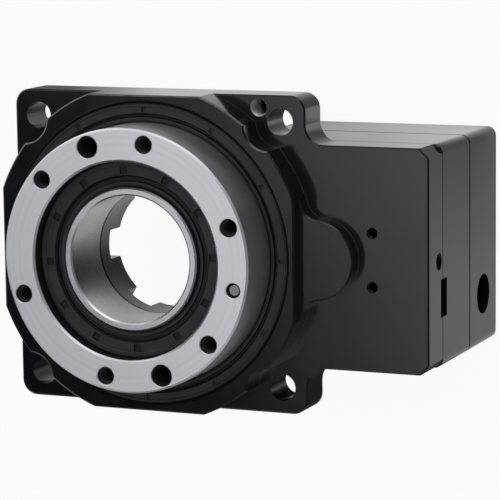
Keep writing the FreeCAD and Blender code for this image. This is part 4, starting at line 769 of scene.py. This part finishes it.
class PLATFORM_OT_table_finish(bpy.types.Operator):
    """Bright turned finish on the table ring and hollow sleeve, greyer on the slotted tie bush"""
    bl_idname = "platform.table_finish"
    bl_label = "Finish the table, sleeve and bush"

    def execute(self, context):
        colours = context.scene.platform_colours
        sizes = context.scene.platform_sizes
        marks = sizes.turning_marks
        face = node_level("table_ring", HIGH) - sizes.hole_edge / 2
        bores = (sizes.table_thread_circle / 2, sizes.table_thread_turn, sizes.table_hole_step,
                 sizes.bore_reach, face)
        # The well's wall and the tapped holes' walls get painted shade.
        well_r = node_right("inner_oil_seal") + sizes.hole_edge / 2
        seam = (node_level("slotted_tie_bush", HIGH), sizes.bush_seam)
        # The ring's side wall keeps 0.95 of the colour as a painted shade, and has its own gloss.
        dress(turned_finish("bright_turned_steel", colours.bright_steel, marks, rough=0.4,
                            side=(0.95, 0.45), well_r=well_r, bores=bores), "table_ring")
        dress(turned_finish("bright_sleeve_steel", colours.bright_steel, marks, rough=0.26,
                            relief=0.03, seam=seam), "hollow_sleeve")
        dress(turned_finish("blackened_tie_bush", colours.bush_steel, marks, rough=0.28,
                            seam=seam), "slotted_tie_bush")
        return {"FINISHED"}


class PLATFORM_OT_seal_finish(bpy.types.Operator):
    """Moulded rubber on the oil seals and the grease seal ring"""
    bl_idname = "platform.seal_finish"
    bl_label = "Finish the seals"

    def execute(self, context):
        rubber = context.scene.platform_colours.rubber
        # Share of the colour kept in each seal's pockets, as painted shade; the case seal ring has
        # none.
        pocket_shades = {"inner_oil_seal": 0.15, "outer_oil_seal": 0.5, "case_seal_ring": 1.0}
        for node, pocket_shade in pocket_shades.items():
            dress(rubber_finish("moulded_rubber_of_" + node, rubber, node_level(node, HIGH),
                                pocket_shade), node)
        return {"FINISHED"}


class PLATFORM_OT_bearing_finish(bpy.types.Operator):
    """Ground steel on the bearings and pins, plastic on the roller spacers and ball cages"""
    bl_idname = "platform.bearing_finish"
    bl_label = "Finish the bearings"

    def execute(self, context):
        colours = context.scene.platform_colours
        marks = context.scene.platform_sizes.turning_marks * GROUND_MARKS
        ground = {"colour": colours.bearing_steel, "marks": marks, "rough": 0.18, "relief": 0.06}
        dress(turned_finish("ground_bearing_steel", **ground),
              "bearing_inner_ring", "bearing_outer_ring_lower", "bearing_outer_ring_upper",
              "crossed_rollers")
        dress(turned_finish("ground_ball_bearing_steel", centre_x=PINION_X, **ground),
              "pinion_bearing_outer_rings", "pinion_bearing_inner_rings", "bearing_balls",
              "dowels")
        dress(turned_finish("ground_pin_steel", colours.pin_steel, marks, rough=0.2,
                            centre_x=node_middle("locating_pin").x), "locating_pin")
        dress(plastic_finish(colours.plastic), "roller_spacers", "ball_cages")
        return {"FINISHED"}


class PLATFORM_OT_gear_finish(bpy.types.Operator):
    """Hardened steel on the ring gear and pinion shaft, and the finish of what sits on the shaft"""
    bl_idname = "platform.gear_finish"
    bl_label = "Finish the gears and the clamp"

    def execute(self, context):
        colours = context.scene.platform_colours
        marks = context.scene.platform_sizes.turning_marks
        dress(turned_finish("hardened_gear_steel", colours.gear_steel, marks, rough=0.32),
              "ring_gear")
        dress(turned_finish("hardened_pinion_steel", colours.gear_steel, marks, rough=0.3,
                            centre_x=PINION_X), "pinion_shaft")
        dress(turned_finish("phosphated_spring_steel", colours.spring_steel, marks, rough=0.45,
                            centre_x=PINION_X, metal=0.85),
              "case_retaining_ring", "shaft_retaining_ring", "bearing_spacer")
        dress(turned_finish("machined_clamp_metal", colours.clamp_metal, marks * COARSE_MARKS,
                            rough=0.34, centre_x=PINION_X), "clamp_ring")
        return {"FINISHED"}


class PLATFORM_OT_screw_finish(bpy.types.Operator):
    """Black oxide on the socket screws"""
    bl_idname = "platform.screw_finish"
    bl_label = "Finish the screws"

    def execute(self, context):
        finish = turned_finish("black_oxide_screws", context.scene.platform_colours.black_steel,
                               context.scene.platform_sizes.screw_marks, rough=0.36,
                               centre_x=PINION_X, metal=0.9)
        dress(finish, "gear_screws", "adapter_screws", "clamp_screw")
        return {"FINISHED"}


class PLATFORM_OT_table_threads(bpy.types.Operator):
    """Threads in the table's six tapped holes"""
    bl_idname = "platform.table_threads"
    bl_label = "Cut the table's threads"

    def execute(self, context):
        sizes = context.scene.platform_sizes
        # The threads are near black, matt and not metallic: painted shade inside the holes.
        finish = turned_finish("painted_shade_thread_steel", context.scene.platform_colours.shaded_thread_colour,
                               sizes.turning_marks, rough=0.7, metal=0.0)
        ridge = thread_ridge("table_thread", sizes.table_thread_bore / 2,
                             sizes.table_thread_pitch, sizes.table_thread_deep, WIDE_HOLE_STEPS)
        mouth = node_level("table_ring", HIGH) - sizes.table_thread_pitch
        places = ring_places(sizes.table_thread_circle, sizes.table_thread_count,
                             sizes.table_thread_turn, mouth)
        placed_copies(ridge, places, FROM_TOP, "table", finish)
        return {"FINISHED"}


class PLATFORM_OT_housing_threads(bpy.types.Operator):
    """Threads in the lifting hole, the sensor bracket holes and the grease port"""
    bl_idname = "platform.housing_threads"
    bl_label = "Cut the housing's threads"

    def execute(self, context):
        sizes = context.scene.platform_sizes
        self.lifting_thread(sizes, context.scene.platform_colours.bearing_steel)
        self.sensor_threads(sizes)
        self.port_thread(sizes)
        return {"FINISHED"}

    def lifting_thread(self, sizes, colour):
        """Bare metal thread in the flange's face."""
        bare = turned_finish("bare_lifting_thread", colour, sizes.turning_marks, rough=0.5)
        place = mount_place("lifting_hole")
        place.z = EAR_LEVEL - sizes.lifting_pitch * MOUTH_SHARE
        ridge = thread_ridge("lifting_thread", sizes.lifting_bore / 2, sizes.lifting_pitch,
                             sizes.lifting_deep, WIDE_HOLE_STEPS)
        placed_copies(ridge, [place], FROM_TOP, "base", bare)

    def sensor_threads(self, sizes):
        """A pair of anodised threads in the nose."""
        name = "sensor_bracket_holes"
        half = MOUNTS[name]["dims"]["spacing_y_mm"] * MM / 2
        level = EAR_LEVEL - sizes.sensor_pitch * MOUTH_SHARE
        places = [Vector((mount_place(name).x, side * half, level)) for side in (1, -1)]
        ridge = thread_ridge("sensor_thread", sizes.sensor_bore / 2, sizes.sensor_pitch,
                             sizes.sensor_deep, NARROW_HOLE_STEPS)
        placed_copies(ridge, places, FROM_TOP, "base", bpy.data.materials[ANODISED])

    def port_thread(self, sizes):
        """Anodised thread in the nose's end."""
        place = mount_place("grease_port")
        place.x = node_right("housing") - sizes.port_pitch * MOUTH_SHARE
        ridge = thread_ridge("grease_port_thread", sizes.port_bore / 2, sizes.port_pitch,
                             sizes.port_deep, WIDE_HOLE_STEPS)
        placed_copies(ridge, [place], FROM_RIGHT, "base", bpy.data.materials[ANODISED])


class PLATFORM_OT_motor_threads(bpy.types.Operator):
    """Threads in the four motor screw holes"""
    bl_idname = "platform.motor_threads"
    bl_label = "Cut the motor flange's threads"

    def execute(self, context):
        sizes = context.scene.platform_sizes
        ridge = thread_ridge("motor_thread", sizes.motor_bore / 2, sizes.motor_pitch,
                             sizes.motor_deep, NARROW_HOLE_STEPS)
        mouth = node_level("motor_flange", LOW) + sizes.motor_pitch * MOUTH_SHARE
        places = ring_places(sizes.motor_circle, sizes.motor_count, sizes.motor_turn, mouth,
                             PINION_X)
        placed_copies(ridge, places, FROM_REAR, "base", bpy.data.materials[ANODISED])
        return {"FINISHED"}


class PLATFORM_OT_studio(bpy.types.Operator):
    """Floor, room light, soft box and camera"""
    bl_idname = "platform.studio"
    bl_label = "Set up the studio"

    def execute(self, context):
        studio = context.scene.platform_studio
        self.floor(studio, context.scene.platform_colours.floor)
        self.room(context.scene, studio)
        self.soft_box(studio)
        self.camera(context.scene, studio)
        context.scene.view_settings.view_transform = "Standard"
        return {"FINISHED"}

    def floor_tone(self, finish, studio):
        """Painted shade and light of the floor that only reflections show, darkest under the
        object, by place.
        """
        spot = finish.place()
        x, y = spot.part("X"), spot.part("Y")
        from_darkest = distance(x - studio.shade_place[0], y - studio.shade_place[1])
        under = from_darkest.ramp(*UNDER_REACH, studio.floor_dim, UNDER_LIGHTEST)
        under = under * abs(y - NEAR_BAND_Y).ramp(*NEAR_BAND) * y.ramp(*NEAR_END)
        farthest = y.ramp(*FARTHEST_START)
        behind = x.ramp(*FAR_TONES) * (1 - farthest) + x.ramp(*FARTHEST_TONES) * farthest
        behind = behind * abs(x - LEFT_BAND_X).ramp(*LEFT_BAND)
        far = y.ramp(*FAR_START)
        right = x.ramp(*NOSE_START)
        at_nose = y.ramp(*NOSE_DEPTH, studio.floor_right, studio.floor_right * NOSE_FAR_SHARE)
        return (under * (1 - far) + behind * far) * (1 - right) + at_nose * right

    def floor(self, studio, colour):
        """Pale sheet that looks white, keeps the object's shadow and shows painted shade and light
        in reflections.
        """
        deselect_all()
        bpy.ops.mesh.primitive_plane_add(size=FLOOR_SIZE,
                                         location=(0, 0, CAD_BOX[LOW][2] - FLOOR_GAP))
        floor = bpy.context.object
        floor.name = "studio_floor"
        material = bpy.data.materials.new("pale_floor")
        material.use_nodes = True
        finish = Finish(material.node_tree)
        matt = material.node_tree.nodes["Principled BSDF"]
        finish.fill(matt, {"Base Color": shade(colour, 1.0), "Roughness": FLOOR_ROUGH})
        glossy = finish.rays("Glossy")
        # Glossy rays see the painted shade; camera rays see plain white.
        tone = 1 - glossy + glossy * self.floor_tone(finish, studio)
        glow = finish.node("ShaderNodeEmission", {}, {"Color": tone, "Strength": 1.0})
        seen = finish.rays("Camera").either(finish.rays("Transmission")) * studio.floor_glow
        mixed = finish.node("ShaderNodeMixShader", {}, {
            0: seen.either(glossy), 1: Field(finish, matt.outputs[0]), 2: glow})
        finish.fill(material.node_tree.nodes["Material Output"], {"Surface": mixed})
        floor.data.materials.append(material)

    def room(self, scene, studio):
        """Soft light from all round that falls off by direction, white to the camera."""
        world = scene.world or bpy.data.worlds.new("room")
        scene.world = world
        world.use_nodes = True
        finish = Finish(world.node_tree)
        way = finish.node("ShaderNodeTexCoord", {}, {}, "Generated")
        x, y, z = (way.part(axis) for axis in "XYZ")
        corner = x + y * CORNER_LEAN
        dimmed = corner.ramp(*LOWER_LEFT, studio.dim_side, LEFT_LIGHT) * corner.ramp(*OVERHEAD)
        dimmed = dimmed * x.ramp(*RIGHT_SIDE) * y.ramp(*NEAR_SIDE)
        lit = dimmed * z.above(0) + z.below(0)
        colour = finish.node("ShaderNodeVectorMath", {"operation": "SCALE"}, {
            0: tuple(studio.room_colour), "Scale": finish.rays("Camera").either(lit)})
        finish.fill(world.node_tree.nodes["Background"], {"Color": colour, "Strength": 1.0})

    def soft_box(self, studio):
        """Square lamp that looks at the object."""
        deselect_all()
        bpy.ops.object.light_add(type="AREA", location=studio.box_place)
        lamp = bpy.context.object
        lamp.name = "upper_soft_box"
        lamp.data.size = studio.box_size
        lamp.data.energy = studio.box_power
        lamp.rotation_euler = (-Vector(studio.box_place)).to_track_quat("-Z", "Y").to_euler()

    def camera(self, scene, studio):
        """Camera at the photograph's viewing angle."""
        deselect_all()
        bpy.ops.object.camera_add(location=studio.camera_place,
                                  rotation=Euler(studio.camera_turn))
        camera = bpy.context.object
        camera.data.sensor_width = SENSOR
        camera.data.lens = studio.lens
        camera.data.clip_start = NEAREST
        scene.camera = camera


OPERATORS = (
    PLATFORM_OT_housing_finish,
    PLATFORM_OT_table_finish,
    PLATFORM_OT_seal_finish,
    PLATFORM_OT_bearing_finish,
    PLATFORM_OT_gear_finish,
    PLATFORM_OT_screw_finish,
    PLATFORM_OT_table_threads,
    PLATFORM_OT_housing_threads,
    PLATFORM_OT_motor_threads,
    PLATFORM_OT_studio,
)


class PLATFORM_PT_sidebar(bpy.types.Panel):
    """Steps and settings of the platform"""
    bl_idname = "PLATFORM_PT_sidebar"
    bl_label = "Rotary platform"
    bl_space_type = "VIEW_3D"
    bl_region_type = "UI"
    bl_category = "Platform"

    def draw(self, context):
        scene = context.scene
        for operator in OPERATORS:
            self.layout.operator(operator.bl_idname)
        for group in (scene.platform_sizes, scene.platform_colours, scene.platform_studio):
            box = self.layout.box()
            for name in group.__annotations__:
                box.prop(group, name)


CLASSES = (PlatformSizes, PlatformColours, PlatformStudio) + OPERATORS + (PLATFORM_PT_sidebar,)


def register():
    """Adds the classes and the scene's settings."""
    for each in CLASSES:
        bpy.utils.register_class(each)
    bpy.types.Scene.platform_sizes = PointerProperty(type=PlatformSizes)
    bpy.types.Scene.platform_colours = PointerProperty(type=PlatformColours)
    bpy.types.Scene.platform_studio = PointerProperty(type=PlatformStudio)


def unregister():
    """Takes the settings and the classes away again."""
    del bpy.types.Scene.platform_studio
    del bpy.types.Scene.platform_colours
    del bpy.types.Scene.platform_sizes
    for each in reversed(CLASSES):
        bpy.utils.unregister_class(each)


def main():
    """Makes the visual model step by step."""
    register()
    for operator in OPERATORS:
        group, name = operator.bl_idname.split(".")
        getattr(getattr(bpy.ops, group), name)()


if __name__ == "__main__":
    main()
